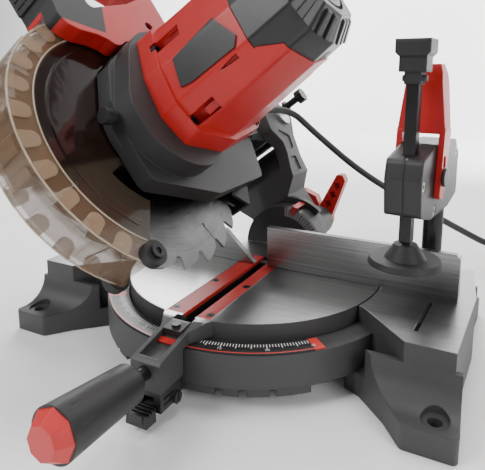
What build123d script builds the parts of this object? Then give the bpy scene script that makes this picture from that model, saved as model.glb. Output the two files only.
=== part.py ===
# A benchtop miter saw: castings, turntable, tilting head, quick-action hold-down and power cord.
# Millimetres. X runs right along the fence, Y to the rear, Z up. The origin is on the turntable's
# axis at bench level. Head pieces are drawn upright and then leaned left by bevel_rest.
import math
import os
from build123d import *

os.makedirs("parts", exist_ok=True)

# fits
run_gap = 0.4  # between pieces that turn or slide past each other
shaft_gap = 0.06  # radial, a shaft in its hole
seat_gap = 0.1  # between flat faces that bear on each other

# base casting
table_z = 52.7
ring_r = 127.0
ring_top = 40.0
ring_low = 16.0
well_floor = 20.0
turn_r = 108.6
well_gap = 1.4
wall = 4.5
roof = 5.5
wing_neck = (108.0, 41.0)
wing_in = 142.9
wing_out = 174.6
wing_bulge = 180.5
wing_deep = 75.3
rear_cut_z = 22.0
rear_cut_angle = 27.0
foot_in = 148.0
foot_out = 181.0
foot_deep = 105.0
foot_top = 16.6
flow_r = 22.0
side_flow_r = 14.0
bolt_x = 166.0
bolt_y = 92.6
bolt_hole_r = 4.5
comb_in = 117.0
comb_out = 124.5
comb_low = 9.5
notch_w = 5.0
detent_angles = (0.0, 15.0, 22.5, 31.6, 45.0)
scale_span = 48.0
scale_t = 1.2

# fence
fence_y = 1.7
fence_t = 5.5
fence_h = 36.0
fence_end = 168.0
fence_gap_right = 9.0
fence_gap_left = 3.5
fence_slope_end = 33.5
fence_notch_z = 27.8
fence_notch_end = 60.0
flange_t = 5.5
flange_deep = 21.0
flange_in = 114.0
fence_screw_y = 14.0
fence_screw_x = (126.0, 155.0)
screw_r = 3.0
screw_head_r = 5.0
screw_head_h = 3.4

# turntable
deck_t = 8.0
rim_low = 36.0
rim_t = 5.5
pivot_r = 6.0
pivot_hub_r = 24.0
pivot_seat_z = 28.0
trough_left = -12.0
trough_right = 27.0
trough_mouth = 9.5
trough_floor = 31.5
trough_rear = 14.0
turn_back = 75.5
kerf_left = -4.0
kerf_right = 6.0
plate_left = -18.6
plate_right = 17.0
plate_front = -105.7
plate_rear = 22.0
plate_t = 3.0
arm_half = 11.25
arm_flare = 20.0
arm_wall = 3.6
arm_tip_y = -154.0
arm_tip_z = 44.0
arm_split_z = 23.5
arm_back_y = -129.5

# miter lock and detent lever
rod_y = -151.0
rod_z = 35.5
rod_r = 4.5
rod_rise = 4.5
grip_near = -169.5
grip_far = -223.5
grip_r0 = 12.6
grip_r1 = 15.5
cap_far = -231.0
lever_y = -137.4
lever_z = 12.5
lever_tip_y = -164.0
lever_half = 5.0
lever_pin_r = 2.0

# bevel bracket and lock
bracket_r = 40.0
bracket_front = 58.0
bevel_bolt_r = 6.0
bevel_lock_y = 163.0
bevel_lock_t = 15.0
bevel_rest = 36.5
bevel_limit = 45.0

# head, in (y, u): y to the rear, u above the table in the blade's plane; n is across the blade
hinge = (145.0, 122.0)
arbor = (-57.6, 132.9)
gear_module = 1.5
pinion_teeth = 10
gear_teeth = 42
motor_angle = 40.3
blade_r = 108.0
blade_t = 2.2
blade_teeth = 24
blade_bore_r = 8.0
flange_r = 22.0
arbor_r = 8.0
guard_left = -14.0
guard_right = 11.0
guard_wall = 2.0
guard_crown_r = 112.0
guard_start = -10.0
guard_end = 184.0
guard_window = (104.0, 158.0)
guard_window_r = 97.0
shroud_gap = 2.0
shroud_wall = 2.0
shroud_band = 2.5
shroud_in = 64.0
shroud_start = 85.0
shroud_end = 231.0
shroud_hub_in = 40.0
shroud_hub_out = 49.0
roller_at = 110.4
roller_r = 9.0
case_near = 17.0
case_far = 50.0
skirt_far = 32.0
barrel_r = 47.0
barrel_motor_r = 56.5
case_wall = 4.0
gear_near = 31.0
gear_t = 9.0
housing_far = 136.0
collar_far = case_far + 17
tongue_far = 154.0
chute_r = 119.0
housing_taper = 0.91
cap_taper = 0.84
motor_far = 189.0
stator_r = 33.0
stator_near = 78.0
stator_far = 122.0
handle_left = -4.0
handle_right = 32.0
handle_split = 14.0
knuckle_r = 21.5
fork_half = 24.0
cheek_half = 38.0
chop_pin_r = 8.0
latch = (157.0, 131.0)
latch_r = 4.0
head_screw_r = 2.2
head_screw_long = 15.0
latch_far = 70.0
hub_r = 28.0
hub_tail_r = 17.0
hub_step = 108.0

# hold-down clamp
post_x = wing_out - 31.6
post_y = 33.0
post_r = 7.8
socket_low = 14.0
clamp_x = post_x - 9.0
clamp_y = -38.0
bar_half = 4.0
bar_low = 98.0
bar_high = 220.0
body_low = 121.0
body_high = 172.0
body_half = 12.5
foot_r = 25.5
lift_pivot = (-16.0, 150.0)
lift_pin_r = 4.0

# power cord
cord_r = 3.5

nodes = {}


def keep(name, *solids):
    nodes[name] = solids[0] if len(solids) == 1 else Compound(children=list(solids))


def box(x0, x1, y0, y1, z0, z1):
    return Pos((x0 + x1) / 2, (y0 + y1) / 2, (z0 + z1) / 2) * Box(x1 - x0, y1 - y0, z1 - z0)


def rod(p, q, r, r_end=None):
    a = Vector(*p)
    b = Vector(*q)
    start = (Align.CENTER, Align.CENTER, Align.MIN)
    if r_end is None:
        body = Cylinder(r, (b - a).length, align=start)
    else:
        body = Cone(r, r_end, (b - a).length, align=start)
    return Plane(origin=a, z_dir=b - a) * body


def ring(p, q, outer, inner):
    return rod(p, q, outer) - rod(p, q, inner)


def outline(points, r=0):
    if r:
        return make_face(FilletPolyline(*points, radius=r, close=True))
    return make_face(Polyline(*points, close=True))


def slab_x(points, x0, x1, r=0):
    return extrude(Plane.YZ.offset(x0) * outline(points, r), x1 - x0, dir=(1, 0, 0))


def slab_y(points, y0, y1, r=0):
    return extrude(Plane.XZ.offset(-y0) * outline(points, r), y1 - y0, dir=(0, 1, 0))


def slab_z(points, z0, z1, r=0):
    return extrude(Plane.XY.offset(z0) * outline(points, r), z1 - z0, dir=(0, 0, 1))


def arc_band(r_in, r_out, a0, a1):
    outer = CenterArc((0, 0), r_out, a0, a1 - a0)
    inner = CenterArc((0, 0), r_in, a0, a1 - a0)
    return make_face([outer, Line(outer @ 1, inner @ 1), inner, Line(inner @ 0, outer @ 0)])


def sector_z(r_in, r_out, a0, a1, z0, z1):
    return extrude(Plane.XY.offset(z0) * arc_band(r_in, r_out, a0, a1), z1 - z0, dir=(0, 0, 1))


def sector_y(r_in, r_out, a0, a1, y0, y1, z):
    face = Plane.XZ.offset(-y0) * (Pos(0, z) * arc_band(r_in, r_out, a0, a1))
    return extrude(face, y1 - y0, dir=(0, 1, 0))


def sector_x(y, z, r_in, r_out, a0, a1, x0, x1):
    face = Plane.YZ.offset(x0) * (Pos(y, z) * arc_band(r_in, r_out, a0, a1))
    return extrude(face, x1 - x0, dir=(1, 0, 0))


def mirrored(shape):
    return mirror(shape, about=Plane.YZ)


def screw(p, q, r, head_r, head_h, socket=0.6):
    # a screw from its tip p to the underside of its head q, with a hexagon socket
    a = Vector(*p)
    b = Vector(*q)
    way = (b - a).normalized()
    top = b + way * head_h
    key = Plane(origin=top - way * head_h * 0.6, z_dir=way)
    hexagon = extrude(key * RegularPolygon(head_r * socket, 6), head_h, dir=way)
    return rod(a, b + way * 0.01, r) + rod(b, top, head_r) - hexagon


# the base

well_r = turn_r + well_gap
wing_back = wing_deep - 4.0


def wing():
    plan = [
        (turn_r - 20, -30),
        (wing_neck[0], -wing_neck[1]),
        (wing_in, -wing_deep),
        (wing_out, -wing_deep),
        (wing_bulge, 14),
        (wing_out, wing_deep),
        (wing_in, wing_back),
        (turn_r - 8, 46),
    ]
    solid = slab_z(plan, 3, table_z)
    hollow = offset(outline(plan), -wall, kind=Kind.INTERSECTION)
    return solid - extrude(Plane.XY.offset(0) * hollow, table_z - roof, dir=(0, 0, 1))


def foot():
    plan = [
        (wing_neck[0] - 6, -wing_neck[1]),
        (100, -61),
        (113, -67),
        (foot_in - 14, -foot_deep + 18),
        (foot_in, -foot_deep),
        (foot_out, -foot_deep),
        (wing_out + 4, -wing_deep + 8),
        (wing_in, -wing_deep + 8),
    ]
    low = slab_z(plan, 0, foot_top, 4)
    pad = [
        (foot_in - 8, -foot_deep + 26),
        (foot_in, -foot_deep),
        (foot_out, -foot_deep),
        (wing_out + 4, -foot_deep + 26),
    ]
    curl = slab_z(plan, foot_top - 1, foot_top + flow_r)
    curl &= box(0, 400, -wing_deep - flow_r, -wing_deep + wall, 0, 99)
    bow_y = -wing_deep - flow_r
    bow_z = foot_top + flow_r
    curl -= rod((0, bow_y, bow_z), (400, bow_y, bow_z), flow_r)
    under = extrude(offset(outline(pad), -wall, kind=Kind.INTERSECTION), foot_top - roof, dir=(0, 0, 1))
    post = rod((bolt_x, -bolt_y, 0), (bolt_x, -bolt_y, foot_top), bolt_hole_r + wall)
    body = low + curl + side_flow() - under + (post & low)
    body -= rod((bolt_x, -bolt_y, -1), (bolt_x, -bolt_y, foot_top + 9), bolt_hole_r)
    return body - rod((bolt_x, -bolt_y, foot_top - 1.2), (bolt_x, -bolt_y, foot_top + 9), bolt_hole_r + 4)


def side_flow():
    # the hollow sweep where the wing's slanted face runs out into the foot
    a = Vector(wing_neck[0], -wing_neck[1], 0)
    b = Vector(wing_in, -wing_deep, 0)
    way = (b - a).normalized()
    out = way.cross(Vector(0, 0, 1)) * side_flow_r
    lift = Vector(0, 0, foot_top + side_flow_r)
    block = slab_z([(p.X, p.Y) for p in (a, b, b + out, a + out)], foot_top - 1, foot_top + side_flow_r)
    return block - rod(a + out + lift - way * 20, b + out + lift + way * 20, side_flow_r)


def base_casting():
    front_foot = foot()
    side = wing() + front_foot + mirror(front_foot, about=Plane.XZ)
    side += rod((post_x, post_y, socket_low), (post_x, post_y, table_z), post_r + 5)
    body = rod((0, 0, ring_low), (0, 0, ring_top), ring_r) + side + mirrored(side)
    body -= rod((0, 0, well_floor), (0, 0, table_z + 1), well_r)
    far = 400
    a = math.radians(rear_cut_angle)
    wedge = [
        (0, 0), (far * math.cos(a), far * math.sin(a)), (0, far),
        (-far * math.cos(a), far * math.sin(a))
    ]
    body -= slab_z(wedge, rear_cut_z, table_z + 1) & rod((0, 0, 0), (0, 0, 99), ring_r + 24)
    body += rod((0, 0, ring_low - 3), (0, 0, pivot_seat_z), pivot_hub_r + 4)
    body -= rod((0, 0, 0), (0, 0, 99), pivot_r + shaft_gap)
    last = detent_angles[-1] - math.degrees(notch_w / 2 / comb_out)
    comb = sector_z(comb_in, comb_out, 270 - last, 270 + last, comb_low, ring_low + 1)
    for angle in detent_angles[:-1]:
        for side_sign in (-1, 1):
            cut = box(-notch_w / 2, notch_w / 2, -ring_r, -comb_in + 3, 0, ring_low)
            comb -= Rot(0, 0, side_sign * angle) * cut
    body += comb
    for x in fence_screw_x:
        hole = rod((x, fence_screw_y, table_z - roof - 12), (x, fence_screw_y, table_z + 9), screw_r)
        pad = rod((x, fence_screw_y, table_z - roof - 12), (x, fence_screw_y, table_z - 1), screw_r + 4)
        body += pad + mirrored(pad)
        body -= hole + mirrored(hole)
    bore = rod((post_x, post_y, socket_low + 4), (post_x, post_y, 99), post_r + shaft_gap)
    body -= bore + mirrored(bore)
    slit = slab_z([(145.5, -58), (148.5, -58), (151.5, -9), (148.5, -9)], table_z - 2.5, table_z + 1)
    return body - slit - mirrored(slit)


def base_group():
    keep("base_casting", base_casting())
    scale = sector_z(
        well_r + 2.6, ring_r - 1, 270 - scale_span, 270 + scale_span, ring_top, ring_top + scale_t
    )
    keep("miter_scale", scale)
    head_z = pivot_seat_z + seat_gap + pivot_flange + seat_gap
    stud = rod((0, 0, ring_low - 1), (0, 0, head_z), pivot_r)
    stud += extrude(Plane.XY.offset(head_z) * RegularPolygon(pivot_r * 1.7, 6), 5, dir=(0, 0, 1))
    nut_face = Plane.XY.offset(ring_low - 3) * RegularPolygon(pivot_r * 1.7, 6)
    stud += extrude(nut_face, 5, dir=(0, 0, -1))
    stud += rod((0, 0, ring_low - 8), (0, 0, ring_low), pivot_r)
    keep("pivot_bolt", stud)


def fence(side_sign):
    y1 = fence_y + fence_t
    low = table_z + run_gap
    high = table_z + fence_h
    if side_sign > 0:
        inner = [(fence_gap_right, low), (fence_gap_right, high)]
    else:
        step = table_z + fence_notch_z
        inner = [
            (fence_gap_left, low), (fence_slope_end, step), (fence_notch_end, step),
            (fence_notch_end + 6, high)
        ]
    plate = slab_y(inner + [(fence_end - 3, high), (fence_end, high - 3), (fence_end, low)], fence_y, y1)
    sole = box(flange_in, fence_end, fence_y, flange_deep, table_z, table_z + flange_t)
    web_y = [
        (y1 - 1, table_z + flange_t - 1), (flange_deep - 1, table_z + flange_t - 1),
        (y1 - 1, high - 4)
    ]
    body = plate + sole
    body += slab_x(web_y, fence_end - 5, fence_end)
    if side_sign > 0:
        body += slab_x(web_y, flange_in, flange_in + 5)
        body += box(flange_in, fence_end, y1 - 1, y1 + 3, high - 6, high - 2)
    for x in fence_screw_x:
        body -= rod((x, fence_screw_y, 0), (x, fence_screw_y, 99), screw_r)
    return body


def fence_group():
    keep("fence_right", fence(1))
    keep("fence_left", mirrored(fence(-1)))
    bolts = []
    for x in fence_screw_x:
        top = table_z + flange_t
        bolt = screw(
            (x, fence_screw_y, top - 16), (x, fence_screw_y, top), screw_r, screw_head_r,
            screw_head_h
        )
        bolts += [bolt, mirrored(bolt)]
    keep("fence_screws", *bolts)


# the turntable

pivot_flange = trough_floor - pivot_seat_z - seat_gap


def turn_arm():
    side = [
        (-100, table_z),
        (-112, table_z),
        (arm_tip_y + 2, arm_tip_z),
        (arm_tip_y, arm_tip_z - 2),
        (arm_tip_y, arm_split_z),
        (arm_back_y, arm_split_z),
        (arm_back_y, ring_top + scale_t + run_gap),
        (-100, ring_top + scale_t + run_gap),
    ]
    plan = [
        (-arm_flare, -100),
        (arm_flare, -100),
        (arm_flare, -107),
        (arm_half, -123),
        (arm_half, arm_tip_y),
        (-arm_half, arm_tip_y),
        (-arm_half, -123),
        (-arm_flare, -107),
    ]
    body = slab_x(side, -30, 30) & slab_z(plan, 0, 99)
    floor = [(-106, table_z - 6.7), (arm_tip_y + 4, arm_tip_z - 3), (arm_tip_y + 4, 99), (-106, 99)]
    body -= slab_x(floor, -arm_half + arm_wall, arm_half - arm_wall)
    return body


def bevel_bracket():
    disc = rod((0, bracket_front, table_z), (0, turn_back, table_z), bracket_r)
    disc &= box(-99, 99, 0, 99, table_z - 1, 199)
    disc += box(-pivot_hub_r, pivot_hub_r, bracket_front - 3, turn_back, rim_low - 6, table_z)
    return disc


def turntable():
    body = rod((0, 0, table_z - deck_t), (0, 0, table_z), turn_r)
    body += ring((0, 0, rim_low), (0, 0, table_z - 1), turn_r, turn_r - rim_t)
    for angle in (20, 65, 115, 160, 205, 335):
        rib = box(30, turn_r - 2, -2.5, 2.5, rim_low, table_z - 2)
        body += Rot(0, 0, angle) * rib
    block = box(trough_left - 4, trough_right + 4, -turn_r, trough_rear + 4, trough_floor - 3, table_z - 1)
    block &= rod((0, 0, 0), (0, 0, 99), turn_r - 1)
    body += block
    body += rod((0, 0, pivot_seat_z + seat_gap), (0, 0, trough_floor + 0.01), pivot_hub_r)
    body -= box(-turn_r, turn_r, turn_back, turn_r + 9, 0, 99)
    body += turn_arm() + bevel_bracket()
    low_trough = box(
        trough_left, trough_right, -turn_r + rim_t, trough_rear, trough_floor, table_z - deck_t
    )
    mouth = box(trough_left, trough_mouth, -turn_r + rim_t, trough_rear, trough_floor, table_z + 1)
    body -= low_trough + mouth
    body -= box(kerf_left, kerf_right, -114, -90, table_z - 7, table_z + 1)
    body -= box(plate_left, plate_right, plate_front, plate_rear, table_z - plate_t, table_z + 1)
    body -= rod((0, 0, 0), (0, 0, 99), pivot_r + shaft_gap) & box(-20, 20, -20, 20, 0, trough_floor + 1)
    body -= rod((0, bracket_front - 9, table_z), (0, turn_back + 9, table_z), bevel_bolt_r + shaft_gap)
    body -= rod((0, bracket_front - 12, table_z), (0, bracket_front - 3, table_z), bevel_bolt_r * 1.7 + 1)
    way = Vector(0, -math.cos(math.radians(rod_rise)), math.sin(math.radians(rod_rise)))
    mid = Vector(0, rod_y, rod_z)
    body -= rod(
        mid - way * 30, mid + way * 30, rod_r + shaft_gap
    ) & box(-20, 20, arm_tip_y - 1, arm_back_y - 9, 0, 99)
    for x, y in kerf_screw_spots():
        body -= rod((x, y, table_z - 12), (x, y, table_z + 1), 1.5)
    return body


def kerf_screw_spots():
    left = (plate_left + trough_left) / 2
    right = (plate_right + trough_mouth) / 2
    return [(x, y) for x in (left, right) for y in (-99.0, -45.0, 17.0)]


def kerf_group():
    top = table_z - 0.2
    spots = kerf_screw_spots()
    for name, x0, x1 in (
        ("kerf_plate_left", plate_left, kerf_left), ("kerf_plate_right", kerf_right, plate_right)
    ):
        plate = box(x0 + 0.15, x1 - (0.15 if x1 == plate_right else 0), plate_front + 0.15, plate_rear - 0.15,
                    table_z - plate_t, top)
        for x, y in spots:
            plate -= rod((x, y, 0), (x, y, 99), 1.6)
            plate -= rod((x, y, top - 1.8), (x, y, top + 0.2), 1.6, 3.6)
        keep(name, plate)
    screws = []
    for x, y in spots:
        body = rod((x, y, top - 9), (x, y, top - 1.2), 1.45) + rod(
            (x, y, top - 1.8), (x, y, top - 0.1), 1.5, 3.2
        )
        body -= box(
            x - 2, x + 2, y - 0.4, y + 0.4, top - 1, top + 1
        ) + box(x - 0.4, x + 0.4, y - 2, y + 2, top - 1, top + 1)
        screws.append(body)
    keep("kerf_screws", *screws)


def pointer_group():
    # the miter pointer is a leaf in the arm's channel, held by a small block
    half = arm_half - arm_wall - 0.3
    slope = [(-114, 46.6), (-132, 43.7), (-132, 44.9), (-126, 45.9), (-126, 51), (-116, 52.3), (-114, 52.3)]
    leaf = slab_x(slope, -half, half)
    keep("miter_pointer", leaf - turn_arm())


def detent_housing():
    half = arm_half - 0.5
    body = box(-half, half, arm_tip_y + 1, arm_back_y - 2, comb_low + 0.5, arm_split_z)
    body += box(-half + 2, half - 2, arm_tip_y + 3, arm_back_y - 4, comb_low - 1.5, comb_low + 1)
    body -= box(-lever_half - run_gap, lever_half + run_gap, arm_tip_y - 9, 0, 0, arm_split_z - 4)
    for z in (13.5, 17.5):
        for x in (-half, half):
            body -= box(x - 0.8, x + 0.8, arm_tip_y + 4, arm_back_y - 10, z, z + 1.6)
    pin = rod((-half + 0.2, lever_y, lever_z), (half, lever_y, lever_z), lever_pin_r)
    head = rod((half, lever_y, lever_z), (half + 2.2, lever_y, lever_z), 4.0)
    head -= box(half + 1.2, half + 3, lever_y - 0.6, lever_y + 0.6, lever_z - 4, lever_z + 4)
    return body + pin + head


def detent_group():
    keep("detent_housing", detent_housing())
    reach = -comb_in - 1.0
    side = [
        (lever_tip_y, lever_z - 4.5),
        (lever_tip_y + 4, lever_z - 6.0),
        (lever_y - 5, lever_z - 4.5),
        (lever_y + 6, lever_z - 4.6),
        (reach, comb_low - 6.5),
        (reach, comb_low - 1.0),
        (-comb_out + 0.6, comb_low - 1.0),
        (lever_y + 5, lever_z + 4.2),
        (lever_y - 4, lever_z + 4.2),
        (lever_y - 14, lever_z + 0.2),
        (lever_tip_y, lever_z + 1.0),
    ]
    lever = slab_x(side, -lever_half, lever_half)
    pad = [(lever_tip_y, 5.5), (arm_tip_y - 0.5, 5.0), (arm_tip_y - 0.5, 14.5), (lever_tip_y + 1, 13.5)]
    lever += slab_x(pad, -lever_half - 3, lever_half + 3)
    nose = box(-notch_w / 2 + 0.4, notch_w / 2 - 0.4, -ring_r - 4, 0, 0, 99)
    lever &= nose + box(-lever_half - 3, lever_half + 3, -400, -comb_out - 3.5, 0, 99)
    for k in range(3):
        y = lever_tip_y + 2 + 2.8 * k
        lever -= box(-20, 20, y, y + 1.2, 12.2, 20)
    lever -= rod((-9, lever_y, lever_z), (9, lever_y, lever_z), lever_pin_r + shaft_gap)
    keep("detent_lever", lever)


def lock_axis(along):
    # a point on the lock rod's axis at the given Y
    rise = math.tan(math.radians(rod_rise))
    return (0, along, rod_z + (rod_y - along) * rise)


def lock_group():
    shank = rod(lock_axis(arm_back_y - 11), lock_axis(grip_near - 20), rod_r)
    keep("lock_rod", shank)
    collar = rod(lock_axis(grip_near + 4), lock_axis(grip_near), grip_r0 - 3, grip_r0)
    body = rod(lock_axis(grip_near), lock_axis(grip_far), grip_r0, grip_r1) + collar
    axis = Plane(
        origin=lock_axis(grip_near),
        z_dir=Vector(*lock_axis(grip_far)) - Vector(*lock_axis(grip_near))
    )
    long = (Vector(*lock_axis(grip_far)) - Vector(*lock_axis(grip_near))).length
    for k in range(8):
        flute = rod((grip_r1 + 1.6, 0, 7), (grip_r1 + 2.2, 0, long - 6), 3.0)
        body -= axis * (Rot(0, 0, 45 * k + 22.5) * flute)
    body -= rod(lock_axis(grip_near + 9), lock_axis(grip_near - 20.2), rod_r)
    keep("lock_grip", body)
    deep = (Vector(*lock_axis(cap_far)) - Vector(*lock_axis(grip_far))).length
    big = axis.offset(long) * RegularPolygon(grip_r1 - 0.4, 8, major_radius=True)
    small = axis.offset(long + deep) * RegularPolygon(grip_r1 * 0.62, 8, major_radius=True)
    keep("grip_cap", loft([big, small]))


def bevel_lock():
    y0 = bevel_lock_y
    y1 = bevel_lock_y + bevel_lock_t
    hub = rod((0, y0, table_z), (0, y1, table_z), 14)
    arm = slab_y(
        [(-9, table_z), (11, table_z - 4), (29, 101), (26, 108), (19, 108), (4, table_z + 26)],
        y0 + 2, y1, 2.5
    )
    fin = slab_y([(-10, table_z - 4), (6, table_z + 2), (-6, 80), (-24, 87), (-27, 82)], y0 + 2, y1, 2)
    body = hub + arm + fin
    for k in range(3):
        z = table_z + 20 + 11 * k
        x = 9 + 5.2 * k
        body -= Pos(x, y0 + 2, z) * (Rot(0, -24, 0) * Box(7, 8, 7))
    body -= rod((0, 0, table_z), (0, 300, table_z), bevel_bolt_r + shaft_gap)
    keep("bevel_lever", body)
    stud = rod((0, bracket_front - 6, table_z), (0, y1 + 8, table_z), bevel_bolt_r)
    head = Plane.XZ.offset(-(bracket_front - 9)) * (Pos(0, table_z) * RegularPolygon(bevel_bolt_r * 1.7, 6))
    stud += extrude(head, 6, dir=(0, 1, 0))
    nut = Plane.XZ.offset(-(y1 + seat_gap)) * (Pos(0, table_z) * RegularPolygon(bevel_bolt_r * 1.7, 6))
    stud += extrude(nut, 6, dir=(0, 1, 0))
    keep("bevel_bolt", stud)


def turntable_group():
    keep("turntable", turntable())
    kerf_group()
    pointer_group()
    detent_group()
    lock_group()
    bevel_lock()
    plate = sector_y(bracket_r - 9, bracket_r - 0.5, 24, 88, bracket_front - 1.2, bracket_front, table_z)
    keep("bevel_scale", plate)


# the head, drawn upright

motor = (
    arbor[0] + gear_module * (pinion_teeth + gear_teeth) / 2 * math.cos(math.radians(motor_angle)),
    arbor[1] + gear_module * (pinion_teeth + gear_teeth) / 2 * math.sin(math.radians(motor_angle)),
)
hub_front = turn_back + seat_gap
shroud_left = guard_left - shroud_gap - shroud_wall
shroud_right = guard_right + shroud_gap + shroud_wall
shroud_r = guard_crown_r + 1.5 + shroud_band


def up(points):
    return [(y, table_z + u) for y, u in points]


def cross(p, n0, n1, r, r_end=None):
    # a round bar along n at the point p
    return rod((n0, p[0], table_z + p[1]), (n1, p[0], table_z + p[1]), r, r_end)


def tube(p, n0, n1, outer, inner):
    return cross(p, n0, n1, outer) - cross(p, n0, n1, inner)


def wedge(r_in, r_out, a0, a1, n0, n1):
    # part of a ring about the arbor
    return sector_x(arbor[0], table_z + arbor[1], r_in, r_out, a0, a1, n0, n1)


def polar(p, r, angle):
    a = math.radians(angle)
    return (p[0] + r * math.cos(a), p[1] + r * math.sin(a))


def lean(shape):
    return shape.rotate(Axis((0, 0, table_z), (0, 1, 0)), -bevel_rest)


def keep_head(name, *solids):
    keep(name, *[lean(solid) for solid in solids])


def arm_casting():
    side = [
        (hub_front, -4),
        (hub_front, 40),
        (89, 62),
        (103, 79),
        (110, 92),
        (100, 110),
        (107, 126),
        (124, 141),
        (hinge[0], hinge[1] + knuckle_r + 2),
        (hinge[0] + 19, hinge[1] + 13),
        (hinge[0] + knuckle_r + 1, hinge[1] - 3),
        (hinge[0], hinge[1] - 25),
        (130, 72),
        (122, 45),
        (118, -4),
    ]
    body = slab_x(up(side), -cheek_half, cheek_half, 3)
    for s in (-1, 1):
        cheek = [(s * 25, -60), (s * 60, -60), (s * 60, 54), (s * cheek_half, 54), (s * 25, 40)]
        body -= slab_y([(n, table_z + u) for n, u in cheek], 0, 300)
    body += rod((0, hub_front, table_z), (0, hub_step, table_z), hub_r)
    body += rod((0, hub_step - 1, table_z), (0, bevel_lock_y - run_gap, table_z), hub_tail_r)
    body += sector_y(hub_r - 1, bracket_r + 6, 12, 62, hub_front, hub_front + 7, table_z)
    mouth = up([(50, 68), (94, 68), (132, 92), (hinge[0], hinge[1] - 24.6), (hinge[0], 190), (50, 190)])
    body -= slab_x(mouth, -fork_half, fork_half) + cross(hinge, -fork_half, fork_half, knuckle_r + 2.6)
    for s in (-1, 1):
        panel = up([(112, 82), (126, 84), (134, 98), (118, 108), (110, 104)])
        body -= slab_x(panel, s * cheek_half - 1.5, s * cheek_half + 1.5, 2)
        strip = up([(90, 58), (112, 58), (118, 74), (104, 74)])
        body -= slab_x(strip, s * cheek_half - 1.5, s * cheek_half + 1.5, 1.5)
    bench = box(-200, -28, 60, 200, 0, table_z + run_gap)
    body -= bench.rotate(Axis((0, 0, table_z), (0, 1, 0)), bevel_limit)
    for y in (118, 132):
        body += rod((10, y, table_z + 8), (10, y, table_z + 22), 5.5) + rod(
            (10, y, table_z + 21), (10, y, table_z + 26), 3.6
        )
    body -= rod((0, 0, table_z), (0, 300, table_z), bevel_bolt_r + shaft_gap)
    body -= cross(hinge, -99, 99, chop_pin_r)
    return body - cross(latch, 0, 99, latch_r + shaft_gap)


def arm_group():
    keep_head("arm_casting", arm_casting())
    pin = cross(hinge, -cheek_half - 3, cheek_half + 3, chop_pin_r)
    pin += cross(hinge, cheek_half, cheek_half + 3, 10.4) + cross(hinge, -cheek_half - 3, -cheek_half, 10.4)
    keep_head("chop_pin", pin)
    bridge = box(
        -3, 3, bracket_front - 4.5, hub_front + 6, table_z + bracket_r + 2, table_z + bracket_r + 4
    )
    tip_shape = [
        (-3, bracket_r + 4), (3, bracket_r + 4), (3, bracket_r - 2),
        (0, bracket_r - 6), (-3, bracket_r - 2),
    ]
    tip = slab_y(tip_shape, bracket_front - 4.5, bracket_front - 3)
    tip = Pos(0, 0, table_z) * tip
    seat = box(-3, 3, hub_front, hub_front + 6, table_z + bracket_r + 1, table_z + bracket_r + 3)
    pointer = bridge + tip
    pointer = pointer.rotate(Axis((0, 0, table_z), (0, 1, 0)), 53.5)
    pointer -= sector_y(hub_r - 1, bracket_r + 6, 12, 62, hub_front, hub_front + 7, table_z)
    keep_head("bevel_pointer", pointer)
    body = cross(
        latch, fork_half + 0.6, latch_far - 8, latch_r
    ) + cross(latch, cheek_half + 5, cheek_half + 8, 7)
    body += cross(latch, latch_far - 8, latch_far, 8)
    for k in range(8):
        y, u = polar(latch, 8.6, 45 * k)
        body -= cross((y, u), latch_far - 7, latch_far + 1, 1.6)
    keep_head("latch_pin", body)


def upper_guard():
    inner = guard_right - guard_wall
    body = wedge(24, guard_crown_r, guard_start, guard_end, inner, guard_right)
    body += wedge(24, guard_crown_r, guard_start, guard_end, guard_left, guard_left + guard_wall)
    body += wedge(
        guard_crown_r - guard_wall, guard_crown_r, guard_start, guard_end, guard_left, guard_right
    )
    for n0, n1 in (
        (guard_left - shroud_gap - shroud_wall - 1, guard_left + guard_wall),
        (inner, case_near - seat_gap)
    ):
        body += tube(arbor, n0, n1, shroud_hub_in - run_gap, 26)
    for angle in (30, 75, 120, 165):
        rib = wedge(46, 104, angle - 0.8, angle + 0.8, guard_left - 1, guard_left + 0.5)
        body += rib
    brace = wedge(guard_crown_r - 14, guard_crown_r + 6, -9, 34, inner, case_near - seat_gap)
    window = wedge(
        guard_window_r, guard_crown_r + 2, guard_window[0], guard_window[1], guard_left - 2,
        guard_right + 1
    )
    return body + brace - window


def dust_chute():
    body = wedge(96, chute_r, -44, -10.5, guard_left + 1, guard_right - 1)
    body -= wedge(90, chute_r - 2.5, -60, -4, guard_left + 3, guard_right - 3)
    for k in (2, 3):
        body += wedge(
            chute_r - 0.5, chute_r + 1, -40 + 8 * k, -38.5 + 8 * k, guard_left + 1, guard_right - 1
        )
    body += wedge(chute_r - 14, chute_r, -16, -10.5, guard_right - 1.2, case_near - seat_gap)
    return body


case_outline = [
    (-104.6, 130),
    (-104.6, 92),
    (-39, 66),
    (39, 67),
    (57, 104),
    (62, 150),
    (46, 196),
    (20, 216),
    (-42, 216),
    (-80, 192),
    (-99, 160),
]


def lock_way(r):
    return polar(arbor, r, 164)


def barrel(grow, n0, n1):
    # the round body over the gears, from the arbor's side round to the motor's
    near = Pos(arbor[0], table_z + arbor[1]) * Circle(barrel_r + grow)
    far = Pos(motor[0], table_z + motor[1]) * Circle(barrel_motor_r + grow)
    hull = make_hull(near.edges() + far.edges())
    return extrude(Plane.YZ.offset(n0) * hull, n1 - n0, dir=(1, 0, 0))


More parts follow.
